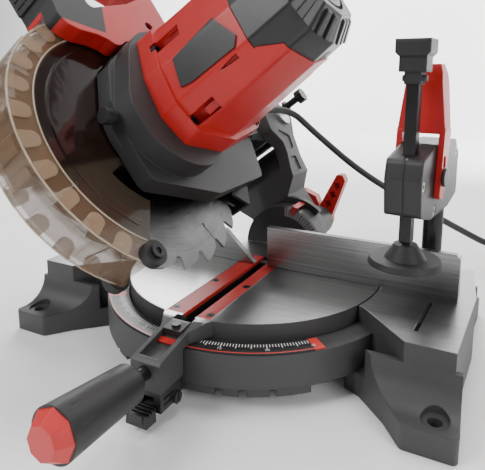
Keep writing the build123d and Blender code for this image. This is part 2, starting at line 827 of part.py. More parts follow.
def gear_case():
    solid = slab_x(up(case_outline), case_near, skirt_far, 9) + barrel(0, case_near, case_far)
    solid += barrel(1.0, case_near, case_near + 6)
    solid -= barrel(-case_wall, case_near + case_wall, case_far - case_wall)
    solid -= slab_x(up(about_motor(0.7)), case_far - case_wall - 1, case_far + 1, 6)
    solid += cross(arbor, case_near, gear_near - 1, 20)
    neck = up([(60, 112), (104, 103), (124, 104), (130, 138), (100, 148), (60, 158)])
    solid += slab_x(neck, -fork_half + 0.3, fork_half - 0.3, 4) - box(-99, case_near, 0, 62.5, 0, 400)
    link = up([(52, 108), (70, 109), (70, 156), (50, 160)])
    solid += slab_x(link, case_near, skirt_far + 5)
    solid += cross(hinge, -fork_half + 0.3, fork_half - 0.3, knuckle_r)
    solid -= cross(hinge, -99, 99, chop_pin_r + shaft_gap)
    solid -= cross(arbor, 0, 99, 17) & box(case_near + 2, 99, -400, 400, 0, 400)
    solid -= cross(arbor, 0, 99, arbor_r + 1.5)
    y0, u0 = lock_way(36)
    y1, u1 = lock_way(60)
    solid -= rod((30, y0, table_z + u0), (30, y1, table_z + u1), 4.0 + shaft_gap)
    for y, u in case_screw_spots():
        solid -= cross((y, u), case_far + 12 - head_screw_long, 99, head_screw_r)
    return solid


def case_screw_spots():
    return [(-62.5, 181.5), (-70.5, 117), (16, 106.5), (10, 202.5)]


housing_outline = [
    (-56, 199),
    (-74, 164),
    (-80, 132),
    (-72, 109),
    (-34, 97),
    (19, 105),
    (34, 152),
    (14, 212),
]


def about_motor(scale):
    return [
        (motor[0] + scale * (y - motor[0]), motor[1] + scale * (u - motor[1])) for y,
        u in housing_outline
    ]


def frustum(n0, n1, s0, s1, r=7):
    low = Plane.YZ.offset(n0) * outline(up(about_motor(s0)), r * s0)
    high = Plane.YZ.offset(n1) * outline(up(about_motor(s1)), r * s1)
    return loft([low, high], ruled=True)


def tongue_zone(grow):
    end = tongue_far + grow
    slope = [
        (housing_far - 9, 60), (end, 60), (end, 119 + grow), (housing_far + 2, 128 + grow),
        (housing_far - 9, 128 + grow)
    ]
    return slab_y([(n, table_z + u) for n, u in slope], -199, 6 + grow)


def motor_housing():
    tip = 1 - (1 - housing_taper) * (tongue_far - case_far) / (housing_far - case_far)
    solid = frustum(case_far + seat_gap, tongue_far, 1, tip)
    solid -= frustum(case_far + 5, tongue_far + 0.5, 0.9, tip - 0.08)
    solid -= box(housing_far, 299, -299, 299, 0, 499) - tongue_zone(0)
    solid += frustum(
        case_far + seat_gap, collar_far, 1.06, 1.045
    ) - frustum(case_far, collar_far + 1, 0.95, 0.94)
    solid += cross(motor, case_far + 4, case_far + 12, 16)
    solid -= cross(motor, 0, 99, 11)
    whole = frustum(case_far + seat_gap, housing_far, 0.96, housing_taper - 0.04)
    for y, u in case_screw_spots():
        solid += cross((y, u), case_far + seat_gap, case_far + 44, 8) & whole
        solid -= cross((y, u), case_far - 1, case_far + 14, head_screw_r)
        solid -= cross((y, u), case_far + 12, case_far + 40, 5.4)
    for angle in (45, 135, 225, 315):
        rib = Rot(angle, 0, 0) * box(stator_near, stator_far, stator_r - 2, stator_r + 30, -3, 3)
        solid += (Pos(0, motor[0], table_z + motor[1]) * rib) & whole
    solid -= cross(motor, stator_near - 1, stator_far + 1, stator_r)
    groove_a = polar(motor, 53, 210)
    solid -= cross(groove_a, case_far + 26, housing_far - 12, 2.2)
    return solid


def end_cap():
    n0 = housing_far + seat_gap
    n1 = motor_far - 16
    solid = frustum(n0, n1, housing_taper - 0.02, cap_taper)
    solid += frustum(n1 - 0.01, motor_far, cap_taper, cap_taper - 0.2, 6)
    solid -= frustum(n0 - 1, n1 - 1, housing_taper - 0.11, cap_taper - 0.1)
    solid += cross(motor, motor_far - 26, motor_far - 14, 15)
    for r in (14, 22, 30):
        solid -= tube(motor, motor_far - 3, motor_far + 1, r + 3, r)
    for angle in (15, 60, 105, 150, 285, 330):
        for step in (0, 1, 2):
            y, u = polar(motor, 40, angle - 7 + 7 * step)
            far = polar(motor, 80, angle - 7 + 7 * step)
            slot = rod((n0 + 12, y, table_z + u), (n0 + 12, far[0], table_z + far[1]), 1.5)
            slot += rod((n0 + 26, y, table_z + u), (n0 + 26, far[0], table_z + far[1]), 1.5)
            face = box(n0 + 12, n0 + 26, 0, 42, -1.5, 1.5)
            face = Pos(0, y, table_z + u) * (Rot(angle - 7 + 7 * step, 0, 0) * face)
            solid -= slot + face
    solid -= cross(motor, motor_far - 27, motor_far - 18, 11)
    return solid - tongue_zone(seat_gap)


def gear_face(teeth, phase):
    pitch_r = gear_module * teeth / 2
    tip = pitch_r + 0.85 * gear_module
    root = pitch_r - 1.25 * gear_module
    points = []
    step = 360 / teeth
    for k in range(teeth):
        mid = phase + k * step
        wide = 0.25 * step
        slim = 0.25 * step * 0.42
        points += [polar((0, 0), root, mid - wide), polar((0, 0), tip, mid - slim)]
        points += [polar((0, 0), tip, mid + slim), polar((0, 0), root, mid + wide)]
    return make_face(Polyline(*points, close=True))


def gear_at(p, teeth, phase, n0, n1):
    face = Plane.YZ.offset(n0) * (Pos(p[0], table_z + p[1]) * gear_face(teeth, phase))
    return extrude(face, n1 - n0, dir=(1, 0, 0))


def blade():
    points = []
    step = 360 / blade_teeth
    for k in range(blade_teeth):
        a = k * step
        points += [
            polar((0, 0), blade_r, a),
            polar((0, 0), blade_r - 1.2, a + 0.26 * step),
            polar((0, 0), blade_r - 5.5, a + 0.66 * step),
            polar((0, 0), blade_r - 10.5, a + 0.84 * step),
            polar((0, 0), blade_r - 10.0, a + 0.97 * step),
        ]
    face = make_face(Polyline(*points, close=True))
    body = extrude(
        Plane.YZ.offset(-blade_t / 2) * (Pos(arbor[0], table_z + arbor[1]) * face), blade_t,
        dir=(1, 0, 0)
    )
    body -= cross(arbor, -9, 9, blade_bore_r + shaft_gap)
    for k in range(4):
        a = 90 * k + 0.86 * step
        slit = wedge(82, blade_r - 8, a - 0.35, a + 0.35, -9, 9)
        y, u = polar(arbor, 82, a)
        body -= slit + cross((y, u), -9, 9, 2.0)
    return body


def spin_group():
    keep_head("saw_blade", blade())
    shaft = cross(arbor, -blade_t / 2 - 3, gear_near + gear_t + 3, arbor_r)
    keep_head("arbor", shaft)
    half = blade_t / 2
    inner = tube(arbor, half, half + 5, flange_r, arbor_r)
    outer = tube(arbor, -half - 3.6, -half, flange_r, arbor_r)
    keep_head("blade_flanges", inner, outer)
    bolt = cross(arbor, -half - 3.6 - 5.5, -half - 3.6, 8.5) + cross(arbor, -half - 4.6, -half - 3.6, 12)
    key = Plane.YZ.offset(-half - 9.2) * (Pos(arbor[0], table_z + arbor[1]) * RegularPolygon(4.6, 6))
    bolt -= extrude(key, 4, dir=(1, 0, 0))
    keep_head("blade_bolt", bolt)
    gear = gear_at(arbor, gear_teeth, motor_angle, gear_near, gear_near + gear_t)
    gear -= cross(arbor, 0, 99, arbor_r)
    for k in range(6):
        gear -= cross(polar(arbor, 19, 60 * k + 10), 0, 99, 4.2)
    keep_head("driven_gear", gear)


def armature_group():
    pinion = gear_at(
        motor, pinion_teeth, motor_angle + 180 + 180 / pinion_teeth, gear_near - 1,
        gear_near + gear_t + 1
    )
    shaft = pinion + cross(motor, gear_near + gear_t, motor_far - 18.5, 4.0)
    shaft += cross(motor, 80, 122, 22.0)
    for k in range(12):
        y, u = polar(motor, 22.6, 30 * k)
        shaft -= cross((y, u), 79, 123, 1.6)
    shaft += cross(motor, 134, 148, 12.5)
    for k in range(16):
        y, u = polar(motor, 12.7, 22.5 * k)
        shaft -= cross((y, u), 133, 149, 0.5)
    fan = cross(motor, 64, 66, 27) + cross(motor, 64, 74, 9)
    for k in range(10):
        vane = box(65, 74, 8, 26.5, -0.9, 0.9)
        fan += Pos(0, motor[0], table_z + motor[1]) * (Rot(36 * k, 0, 0) * vane)
    keep_head("armature", shaft + fan)


def head_screw(n, y, z):
    # one size of screw holds the housing and the handle
    return screw((n - head_screw_long, y, z), (n, y, z), head_screw_r, 4.2, 4)


def motor_inside():
    core = tube(motor, stator_near, stator_far, stator_r, 23)
    slot_z = table_z + motor[1]
    core -= box(stator_near - 1, stator_far + 1, motor[0] - 8, motor[0] + 8, slot_z - 28, slot_z + 28)
    core += tube(motor, stator_near, stator_far, stator_r, stator_r - 5)
    keep_head("stator", core)
    rings = [
        tube(arbor, case_near + 2, case_near + 12, 17, arbor_r + shaft_gap),
        tube(motor, case_far + 4, case_far + 12, 11, 4.0 + shaft_gap),
        tube(motor, motor_far - 26, motor_far - 18, 11, 4.0 + shaft_gap),
    ]
    keep_head("bearings", *rings)
    bolts = []
    for y, u in case_screw_spots():
        z = table_z + u
        bolts.append(head_screw(case_far + 12, y, z))
    for y, u in handle_screw_spots():
        bolts.append(head_screw(handle_right - 6, y, table_z + u))
    keep_head("housing_screws", *bolts)


handle_outer = [
    (-98, 254),
    (-101, 238),
    (-97, 229),
    (-87, 224),
    (-72, 221.5),
    (-62, 217),
    (-57, 212),
    (-51, 212.6),
    (-43, 216.8),
    (-30, 216.4),
    (14, 216.3),
    (34, 238),
    (36, 292),
    (20, 318),
    (-20, 338),
    (-62, 346),
    (-90, 342),
    (-98, 328),
]
handle_hole = [(-62, 249), (-49, 252), (-11, 261), (18, 273), (14, 292), (-18, 308), (-50, 316), (-62, 312)]
trigger_pivot = (-66.0, 312.0)
button_at = (-80.0, 322.0)


def handle_shell(n0, n1, outer_side):
    body = slab_x(up(handle_outer), n0, n1, 6) - slab_x(up(handle_hole), n0 - 1, n1 + 1, 5)
    core = up([(-92, 262), (-70, 262), (-70, 330), (-92, 330)])
    inner_n0 = n0 + (5 if outer_side < 0 else -1)
    inner_n1 = n1 + (-5 if outer_side > 0 else 1)
    body -= slab_x(core, inner_n0, inner_n1, 3)
    slot = up([(-72, 272), (-50, 272), (-50, 318), (-72, 318)])
    body -= slab_x(slot, 6.5, 21.5)
    body -= cross(arbor, -9, case_near - seat_gap, shroud_r + 5)
    body -= cross(button_at, -99, 99, 5 + shaft_gap)
    body += cross(
        trigger_pivot, handle_split - 10, handle_split - seat_gap / 2, 2.4
    ) if outer_side < 0 else cross(trigger_pivot, handle_split + seat_gap / 2, handle_split + 10, 2.4)
    lips = up([(-99, 262), (-93.5, 262), (-93.5, 322), (-99, 322)])
    body -= slab_x(lips, -99, 99)
    for y, u in handle_screw_spots():
        body -= cross(
            (y, u), handle_right - 6 - head_screw_long, 99, head_screw_r
        ) + cross((y, u), handle_right - 6, 99, 4.6)
    return body


def handle_screw_spots():
    return [(-40, 330), (27, 280), (4, 238)]


def handle_group():
    left = handle_shell(handle_left, handle_split - seat_gap / 2, -1)
    right = handle_shell(handle_split + seat_gap / 2, handle_right, 1)
    keep_head("handle_left", left)
    keep_head("handle_right", right)
    grip = slab_x(
        up([(-99.5, 262.2), (-93.6, 262.2), (-93.6, 321.8), (-99.5, 321.8)]), handle_left,
        handle_right
    )
    for k in range(9):
        u = 266 + 6 * k
        grip -= slab_x(
            up([(-101, u), (-98.6, u), (-98.6, u + 2), (-101, u + 2)]), handle_left + 3,
            handle_right - 3
        )
    keep_head("soft_grip", grip)
    pull = up(
        [
            (-71.4, 276), (-62, 276), (-55.5, 282), (-54.5, 296), (-59, 308), (-62.5, 316),
            (-69.5, 316), (-71.4, 308)
        ]
    )
    trigger = slab_x(pull, 7, 21, 2) - cross(trigger_pivot, 0, 30, 2.4 + shaft_gap)
    keep_head("trigger", trigger)
    button = cross(button_at, handle_left - 4, handle_right + 4, 5)
    keep_head("lock_off_button", button)


def shroud():
    body = wedge(shroud_in, shroud_r, shroud_start, shroud_end, shroud_right - shroud_wall, shroud_right)
    body += wedge(shroud_in, shroud_r, shroud_start, shroud_end, shroud_left, shroud_left + shroud_wall)
    body += wedge(shroud_r - shroud_band, shroud_r, shroud_start, shroud_end, shroud_left, shroud_right)
    for n0 in (shroud_left, shroud_right - shroud_wall):
        body += tube(arbor, n0, n0 + shroud_wall, shroud_hub_out, shroud_hub_in)
        body += wedge(shroud_hub_out - 1, shroud_in + 1, 100, 200, n0, n0 + shroud_wall)
    for k in range(12):
        a = shroud_start + 4 + 11.6 * k
        body += wedge(shroud_r - 1, shroud_r + 1.8, a, a + 6.5, shroud_left + 3, shroud_right - 3)
    for side_n in (shroud_left - 1, shroud_right - 0.5):
        body += wedge(88, 89.5, shroud_start + 3, shroud_end - 6, side_n, side_n + 1.5)
    y, u = polar(arbor, roller_at, shroud_end)
    for n0 in (shroud_left, shroud_right - shroud_wall):
        body += cross((y, u), n0, n0 + shroud_wall, 7)
    return body - cross((y, u), -99, 99, 2.0)


def shroud_group():
    keep_head("lower_guard", shroud())
    at = polar(arbor, roller_at, shroud_end)
    n_r = shroud_right + run_gap
    n_l = shroud_left - run_gap
    keep_head("roller_right", tube(at, n_r, n_r + 7, roller_r, 3.0 + shaft_gap))
    keep_head("roller_left", tube(at, n_l - 7, n_l, roller_r, 3.0 + shaft_gap))
    z = table_z + at[1]
    pins = []
    for s, face, far in ((1, shroud_right, n_r + 7 + run_gap), (-1, shroud_left, n_l - 7 - run_gap)):
        pin = rod(
            (face - s * shroud_wall, at[0], z), (face, at[0], z), 1.95
        ) + rod((face, at[0], z), (far, at[0], z), 3.0)
        pin += rod((far, at[0], z), (far + s * 2.2, at[0], z), 5.0)
        star = extrude(
            Plane(origin=(far + s * 1.0, at[0], z), z_dir=(s, 0, 0)) * RegularPolygon(2.6, 6), 3,
            dir=(s, 0, 0)
        )
        pins.append(pin - star)
    keep_head("roller_screws", *pins)


def spindle_lock():
    z = table_z
    points = [lock_way(r) for r in (40, 52, 58)]
    p, q, e = [(30, y, z + u) for y, u in points]
    return rod(p, q, 4.0) + rod(q, e, 6.2)


def head_group():
    keep_head("upper_guard", upper_guard())
    keep_head("dust_chute", dust_chute())
    keep_head("gear_case", gear_case())
    keep_head("motor_housing", motor_housing())
    keep_head("motor_end_cap", end_cap())
    keep_head("spindle_lock", spindle_lock())
    motor_inside()
    handle_group()
    spin_group()
    armature_group()
    shroud_group()


# the hold-down clamp, drawn along -Y from its post and then turned onto its bar

reach_x = clamp_x - post_x
reach_y = clamp_y - post_y
reach = math.hypot(reach_x, reach_y)
clamp_turn = math.degrees(math.atan2(reach_x, -reach_y))
foot_z = bar_low - 7.0
ball_z = foot_z + 10.0


def on_post(shape):
    return Pos(post_x, post_y, 0) * (Rot(0, 0, clamp_turn) * shape)


def clamp_shell(x0, x1):
    side = [
        (16, body_low + 6),
        (16, body_high - 13),
        (3, body_high),
        (-52, body_high + 1),
        (-reach - 12, body_high - 7),
        (-reach - 15, body_high - 20),
        (-reach - 12, body_low + 6),
        (-reach + 12, body_low),
        (-10, body_low),
    ]
    body = slab_x(side, x0, x1, 4)
    body -= box(-9, 9, -reach + 14, -18, body_low + 7, body_high - 8)
    body -= rod((0, 0, 0), (0, 0, body_high - 16), post_r)
    body -= box(-bar_half - 0.1, bar_half + 0.1, -reach - bar_half - 0.1, -reach + bar_half + 0.1, 0, 400)
    if x0 < 0:
        body -= rod(
            (-99, lift_pivot[0] - post_y, lift_pivot[1]),
            (99, lift_pivot[0] - post_y, lift_pivot[1]), lift_pin_r
        )
    else:
        body += lift_pin()
    for y, z in clamp_screw_spots():
        body -= rod((-9, y, z), (99, y, z), 1.75) + rod((body_half - 3, y, z), (99, y, z), 3.6)
    return body


def clamp_screw_spots():
    return [
        (8, body_high - 10), (-46, body_high - 4.2), (-50, body_low + 4.4),
        (-reach - 9, body_high - 24)
    ]


def lift_pin():
    y, z = lift_pivot[0] - post_y, lift_pivot[1]
    far = body_half + run_gap + 4 + run_gap
    pin = rod((-far, y, z), (far, y, z), lift_pin_r)
    return pin + rod((far, y, z), (far + 2, y, z), 6.5) + rod((-far - 2, y, z), (-far, y, z), 6.5)


def clamp_lever():
    y, z = lift_pivot[0] - post_y, lift_pivot[1]
    cheek = [(y - 7, z - 14), (y + 3, z - 17), (y + 9, z - 6), (y + 15, z + 34), (y - 2, z + 34)]
    near = body_half + run_gap
    body = slab_x(cheek, near, near + 4, 3) + slab_x(cheek, -near - 4, -near, 3)
    side = [
        (y - 2, z + 30), (y + 14, z + 30), (y + 18, z + 66), (y + 13, z + 78), (y + 3, z + 78),
        (y - 1, z + 66)
    ]
    front = [
        (-near - 4, z + 30), (near + 4, z + 30), (near - 1, z + 72), (near - 3, z + 78),
        (3 - near, z + 78), (1 - near, z + 72)
    ]
    body += slab_x(side, -99, 99) & slab_y(front, -199, 199)
    face = Plane(origin=(0, y + 24, z + 54), x_dir=(0, 0, 1), z_dir=(0, 1, 0)) * SlotOverall(30, 12)
    body -= extrude(face, -10, dir=(0, 1, 0))
    for x in (near + 2.6, -near - 5.4):
        oval = Plane(origin=(x, y + 1, z + 4), x_dir=(0, 0, 1), z_dir=(1, 0, 0)) * SlotOverall(22, 6.5)
        body -= extrude(oval, 2.8, dir=(1, 0, 0)) - rod((-99, y, z), (99, y, z), 7)
    return body - rod((-99, y, z), (99, y, z), lift_pin_r + shaft_gap)


def clamp_foot():
    at = (0, -reach)
    body = rod((*at, foot_z), (*at, foot_z + 4), foot_r, foot_r - 1.5)
    body += rod((*at, foot_z + 3), (*at, foot_z + 14), 15, 8)
    body -= Pos(*at, ball_z) * Sphere(5 + shaft_gap)
    return body - rod((*at, ball_z + 3), (*at, foot_z + 15), 3.6, 5.6)


def clamp_group():
    keep("clamp_post", on_post(rod((0, 0, socket_low + 4.2), (0, 0, body_high - 16), post_r)))
    keep("clamp_shell_left", on_post(clamp_shell(-body_half, -seat_gap / 2)))
    keep("clamp_shell_right", on_post(clamp_shell(seat_gap / 2, body_half)))
    seat = body_half - 3
    bolts = [on_post(screw((-8.5, y, z), (seat, y, z), 1.75, 3.4, 2.8)) for y, z in clamp_screw_spots()]
    keep("clamp_screws", *bolts)
    keep("clamp_lever", on_post(clamp_lever()))
    bar = box(-bar_half, bar_half, -reach - bar_half, -reach + bar_half, bar_low + 9, bar_high)
    bar += rod((0, -reach, ball_z), (0, -reach, bar_low + 10), 3.0)
    bar += Pos(0, -reach, ball_z) * Sphere(5)
    keep("clamp_bar", on_post(bar))
    top = bar_high - 6
    knob = box(-5.5, 5.5, -reach - 5.5, -reach + 5.5, top, top + 9)
    knob += rod((-8, -reach, top + 4), (8, -reach, top + 4), 2.2)
    knob += box(-9, 9, -reach - 7, -reach + 7, top + 8, top + 19)
    knob_shape = [
        (-9, top + 18), (9, top + 18), (11.5, top + 20.5),
        (11.5, top + 29), (-11.5, top + 29), (-11.5, top + 20.5),
    ]
    knob += slab_y(knob_shape, -reach - 8.5, -reach + 8.5)
    knob -= box(-bar_half, bar_half, -reach - bar_half, -reach + bar_half, 0, bar_high)
    keep("clamp_knob", on_post(knob))
    keep("clamp_foot", on_post(clamp_foot()))


# the power cord: a hanging run, a coil on the bench with its tie, and the plug on top

coil_outer = 43.7
coil_inner = 36.0
coil_low = 5.2
coil_pitch = 9.0
coil_rise = 9.0
coil_heading = 30.0
coil_start = (237.6, 249.5)
coil_down = 2.5
coil_across = 0.5
coil_up = 2.5
coil_off = 0.6
plug_lift = 41.0
cord_run = [
    (-38.0, 80.0, 184.0),
    (-27.0, 124.0, 187.0),
    (-2.0, 146.0, 157.0),
    (50.0, 158.0, 114.0),
    (103.0, 180.0, 81.0),
    (152.0, 200.0, 52.6),
]


def coil_point(turn):
    # the coil winds clockwise from the end of the hanging run: down outside, in, and up inside
    into = min(max((turn - coil_down) / coil_across, 0), 1)
    r = coil_inner + (coil_outer - coil_inner) * (1 + math.cos(math.pi * into)) / 2
    z = coil_low + coil_pitch * max(coil_down - turn, 0)
    climb = turn - coil_down - coil_across
    if climb > 0:
        z += coil_rise * min(climb, coil_up)
    lift = min(max((climb - coil_up) / coil_off, 0), 1)
    z += (plug_lift - coil_low - coil_rise * coil_up) * (1 - math.cos(math.pi * lift)) / 2
    head = math.radians(coil_heading)
    cx = coil_start[0] + coil_outer * math.sin(head)
    cy = coil_start[1] - coil_outer * math.cos(head)
    a = head + math.pi / 2 - 2 * math.pi * turn
    return Vector(cx + r * math.cos(a), cy + r * math.sin(a), z)


def coil_way(turn):
    step = 0.004
    return (coil_point(turn + step) - coil_point(turn - step)).normalized()


def biarc(p, tp, q, tq):
    # two arcs that leave p along tp and reach q along tq
    v = q - p
    t = tp + tq
    k = 2 * (1 - tp.dot(tq))
    d = (math.sqrt(v.dot(t) ** 2 + k * v.dot(v)) - v.dot(t)) / k
    a = p + tp * d
    b = q - tq * d
    m = (a + b) * 0.5
    return [Edge.make_tangent_arc(p, tp, m), Edge.make_tangent_arc(m, b - a, q)]


def coil_solid():
    last = coil_down + coil_across + coil_up + coil_off
    steps = round(last * 4)
    edges = []
    for k in range(steps):
        t0 = last * k / steps
        t1 = last * (k + 1) / steps
        edges += biarc(coil_point(t0), coil_way(t0), coil_point(t1), coil_way(t1))
    path = Wire(edges)
    dots = [path.position_at((k + 0.5) / 900) for k in range(900)]
    reach_free = round(900 * 0.6 / last)
    least = min(
        (dots[i] - dots[j]).length for i in range(900) for j in range(i + reach_free, 900)
    )
    print("coil: least gap to itself", round(least - 2 * cord_r, 2), "length", round(path.length))
    return sweep(Plane(origin=path @ 0, z_dir=path % 0) * Circle(cord_r), path=path)


def cord_tube():
    start = coil_point(0)
    way = coil_way(0.004)
    points = [Vector(*p) for p in cord_run] + [start - way * 55, start - way * seat_gap]
    radii = []
    for a, b, c in zip(points, points[1:], points[2:]):
        turn = math.radians((b - a).get_angle(c - b))
        radii.append(0.45 * min((b - a).length, (c - b).length) / math.tan(turn / 2))
    print("cord radii", [round(r) for r in radii])
    path = FilletPolyline(*points, radius=radii)
    body = sweep(Plane(origin=path @ 0, z_dir=path % 0) * Circle(cord_r), path=path)
    print(
        "cord run", round(path.length), "volume ratio",
        round(body.volume / (path.length * math.pi * cord_r**2), 4)
    )
    return body


def cord_tie():
    turn = 0.45
    p = coil_point(turn)
    way = coil_way(turn)
    flat = Vector(way.X, way.Y, 0).normalized()
    frame = Plane(origin=(p.X, p.Y, 0), x_dir=Vector(0, 0, 1).cross(flat), z_dir=flat)
    out = cord_r + 0.6
    deep = coil_outer - coil_inner + cord_r + 0.6
    high = coil_low + coil_rise * coil_up + cord_r + 0.6
    low = coil_low - cord_r - 0.4
    inside = [(-deep, low), (out, low), (out, high), (-deep, high)]
    outside = [
        (-deep - 1.2, low - 1.2), (out + 1.2, low - 1.2), (out + 1.2, high + 1.2),
        (-deep - 1.2, high + 1.2)
    ]
    band = extrude(frame * (outline(outside, 2.5) - outline(inside, 2)), 5, dir=flat)
    lock = frame * (Pos(out + 3, high - 8, 2.5) * Box(5, 7, 6))
    return band + lock


def power_plug():
    last = coil_down + coil_across + coil_up + coil_off
    way = coil_way(last)
    p = coil_point(last) + way * seat_gap
    flat = Vector(way.X, way.Y, 0).normalized()
    frame = Plane(origin=p, x_dir=flat.cross(Vector(0, 0, 1)), z_dir=flat)
    body = frame * Pos(0, 0, 0) * Cone(
        cord_r + 1, cord_r + 3, 22, align=(Align.CENTER, Align.CENTER, Align.MIN)
    )
    neck = frame.offset(20) * RectangleRounded(20, 14, 5)
    wide = frame.offset(30) * RectangleRounded(34, 20, 6)
    face = frame.offset(54) * RectangleRounded(34, 20, 6)
    body += loft([neck, wide], ruled=True) + loft([wide, face], ruled=True)
    for s in (-1, 1):
        pin = frame.offset(53) * Pos(9.5 * s, 0, 0) * Cylinder(
            2.4, 20, align=(Align.CENTER, Align.CENTER, Align.MIN)
        )
        body += pin
    return body


def cord_gland():
    q = Vector(*cord_run[0])
    way = (Vector(*cord_run[1]) - q).normalized()
    p = q - way * 27
    body = rod(p, q, 8.0, cord_r + 1.2)
    for k in range(4):
        a = p + way * (9 + 4 * k)
        body -= ring(a, a + way * 1.6, 12, 6.2 - 0.55 * k)
    body -= rod(q - way * 5, q + way, cord_r + 0.01)
    return (body - nodes["gear_case"]).solids().sort_by(Axis.Y)[-1]


def cord_group():
    keep("cord_gland", cord_gland())
    keep("cord", cord_tube())
    keep("cord_coil", coil_solid())
    keep("cord_tie", cord_tie())
    keep("power_plug", power_plug())


base_group()
fence_group()
turntable_group()
arm_group()
head_group()
clamp_group()
cord_group()

for name, shape in nodes.items():
    solids = shape.solids()
    print(
        name, len(solids), [round(v, 1) for v in shape.bounding_box().size],
        round(shape.volume / 1000, 1)
    )
    export_step(shape, f"parts/{name}.step")
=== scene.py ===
import math
import bmesh
import bpy
from mathutils import Matrix, Vector


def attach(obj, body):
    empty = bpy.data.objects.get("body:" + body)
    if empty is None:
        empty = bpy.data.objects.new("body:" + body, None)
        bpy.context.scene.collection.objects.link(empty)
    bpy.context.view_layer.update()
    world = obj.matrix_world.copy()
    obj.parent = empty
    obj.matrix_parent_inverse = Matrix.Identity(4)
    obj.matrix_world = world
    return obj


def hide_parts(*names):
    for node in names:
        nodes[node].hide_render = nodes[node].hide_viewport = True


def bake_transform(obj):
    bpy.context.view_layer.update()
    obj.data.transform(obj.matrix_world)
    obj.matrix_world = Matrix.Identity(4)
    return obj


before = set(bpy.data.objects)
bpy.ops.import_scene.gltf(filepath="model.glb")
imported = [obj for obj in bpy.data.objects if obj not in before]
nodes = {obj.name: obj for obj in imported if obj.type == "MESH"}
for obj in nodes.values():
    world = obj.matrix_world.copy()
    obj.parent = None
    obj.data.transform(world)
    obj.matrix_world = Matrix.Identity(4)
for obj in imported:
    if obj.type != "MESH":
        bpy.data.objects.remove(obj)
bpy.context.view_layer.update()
print("frame loaded:", len(nodes), "nodes")

mm = 0.001
bevelTilt = math.radians(36.5)
tiltCos, tiltSin = math.cos(bevelTilt), math.sin(bevelTilt)
tableTop = 52.7
arborAt = (-57.6, 132.9)  # of the blade, in the head's y and u
motorAt = (-27.9, 158.1)  # of the motor shaft, likewise


def headPoint(n, y, u):  # a point of the tilted head, in metres: n across the blade, u above the table
    return Vector((n * tiltCos - u * tiltSin, y, tableTop + n * tiltSin + u * tiltCos)) * mm


def arborPoint(r, degrees):  # y and u of a point that stands about the blade's arbor
    a = math.radians(degrees)
    return arborAt[0] + r * math.cos(a), arborAt[1] + r * math.sin(a)


# shader maths

class Wire:  # a socket on which plain maths works
    def __init__(self, finish, socket):
        self.finish, self.socket = finish, socket

    def maths(self, operation, *values):
        return self.finish.add("ShaderNodeMath", {"operation": operation}, dict(enumerate(values)))

    def __add__(self, other):
        return self.maths("ADD", self, other)

    def __radd__(self, other):
        return self.maths("ADD", other, self)

    def __sub__(self, other):
        return self.maths("SUBTRACT", self, other)

    def __rsub__(self, other):
        return self.maths("SUBTRACT", other, self)

    def __mul__(self, other):
        return self.maths("MULTIPLY", self, other)

    def __rmul__(self, other):
        return self.maths("MULTIPLY", other, self)

    def __gt__(self, other):
        return self.maths("GREATER_THAN", self, other)

    def __lt__(self, other):
        return self.maths("LESS_THAN", self, other)

    def __pow__(self, other):
        return self.maths("POWER", self, other)

    def __abs__(self):
        return self.maths("ABSOLUTE", self)

    def wrap(self, step):  # distance to the nearest whole step
        return abs(self.maths("PINGPONG", self, step / 2))

    def turn(self, other):  # angle of a side over the other one, in degrees
        return self.maths("ARCTAN2", self, other) * (180 / math.pi)

    def top(self, other):
        return self.maths("MAXIMUM", self, other)

    def low(self, other):
        return self.maths("MINIMUM", self, other)

    def ease(self, a, b):  # 0 at a, 1 at b
        sockets = {"Value": self, "From Min": a, "From Max": b}
        return self.finish.add("ShaderNodeMapRange", {"interpolation_type": "SMOOTHSTEP"}, sockets)


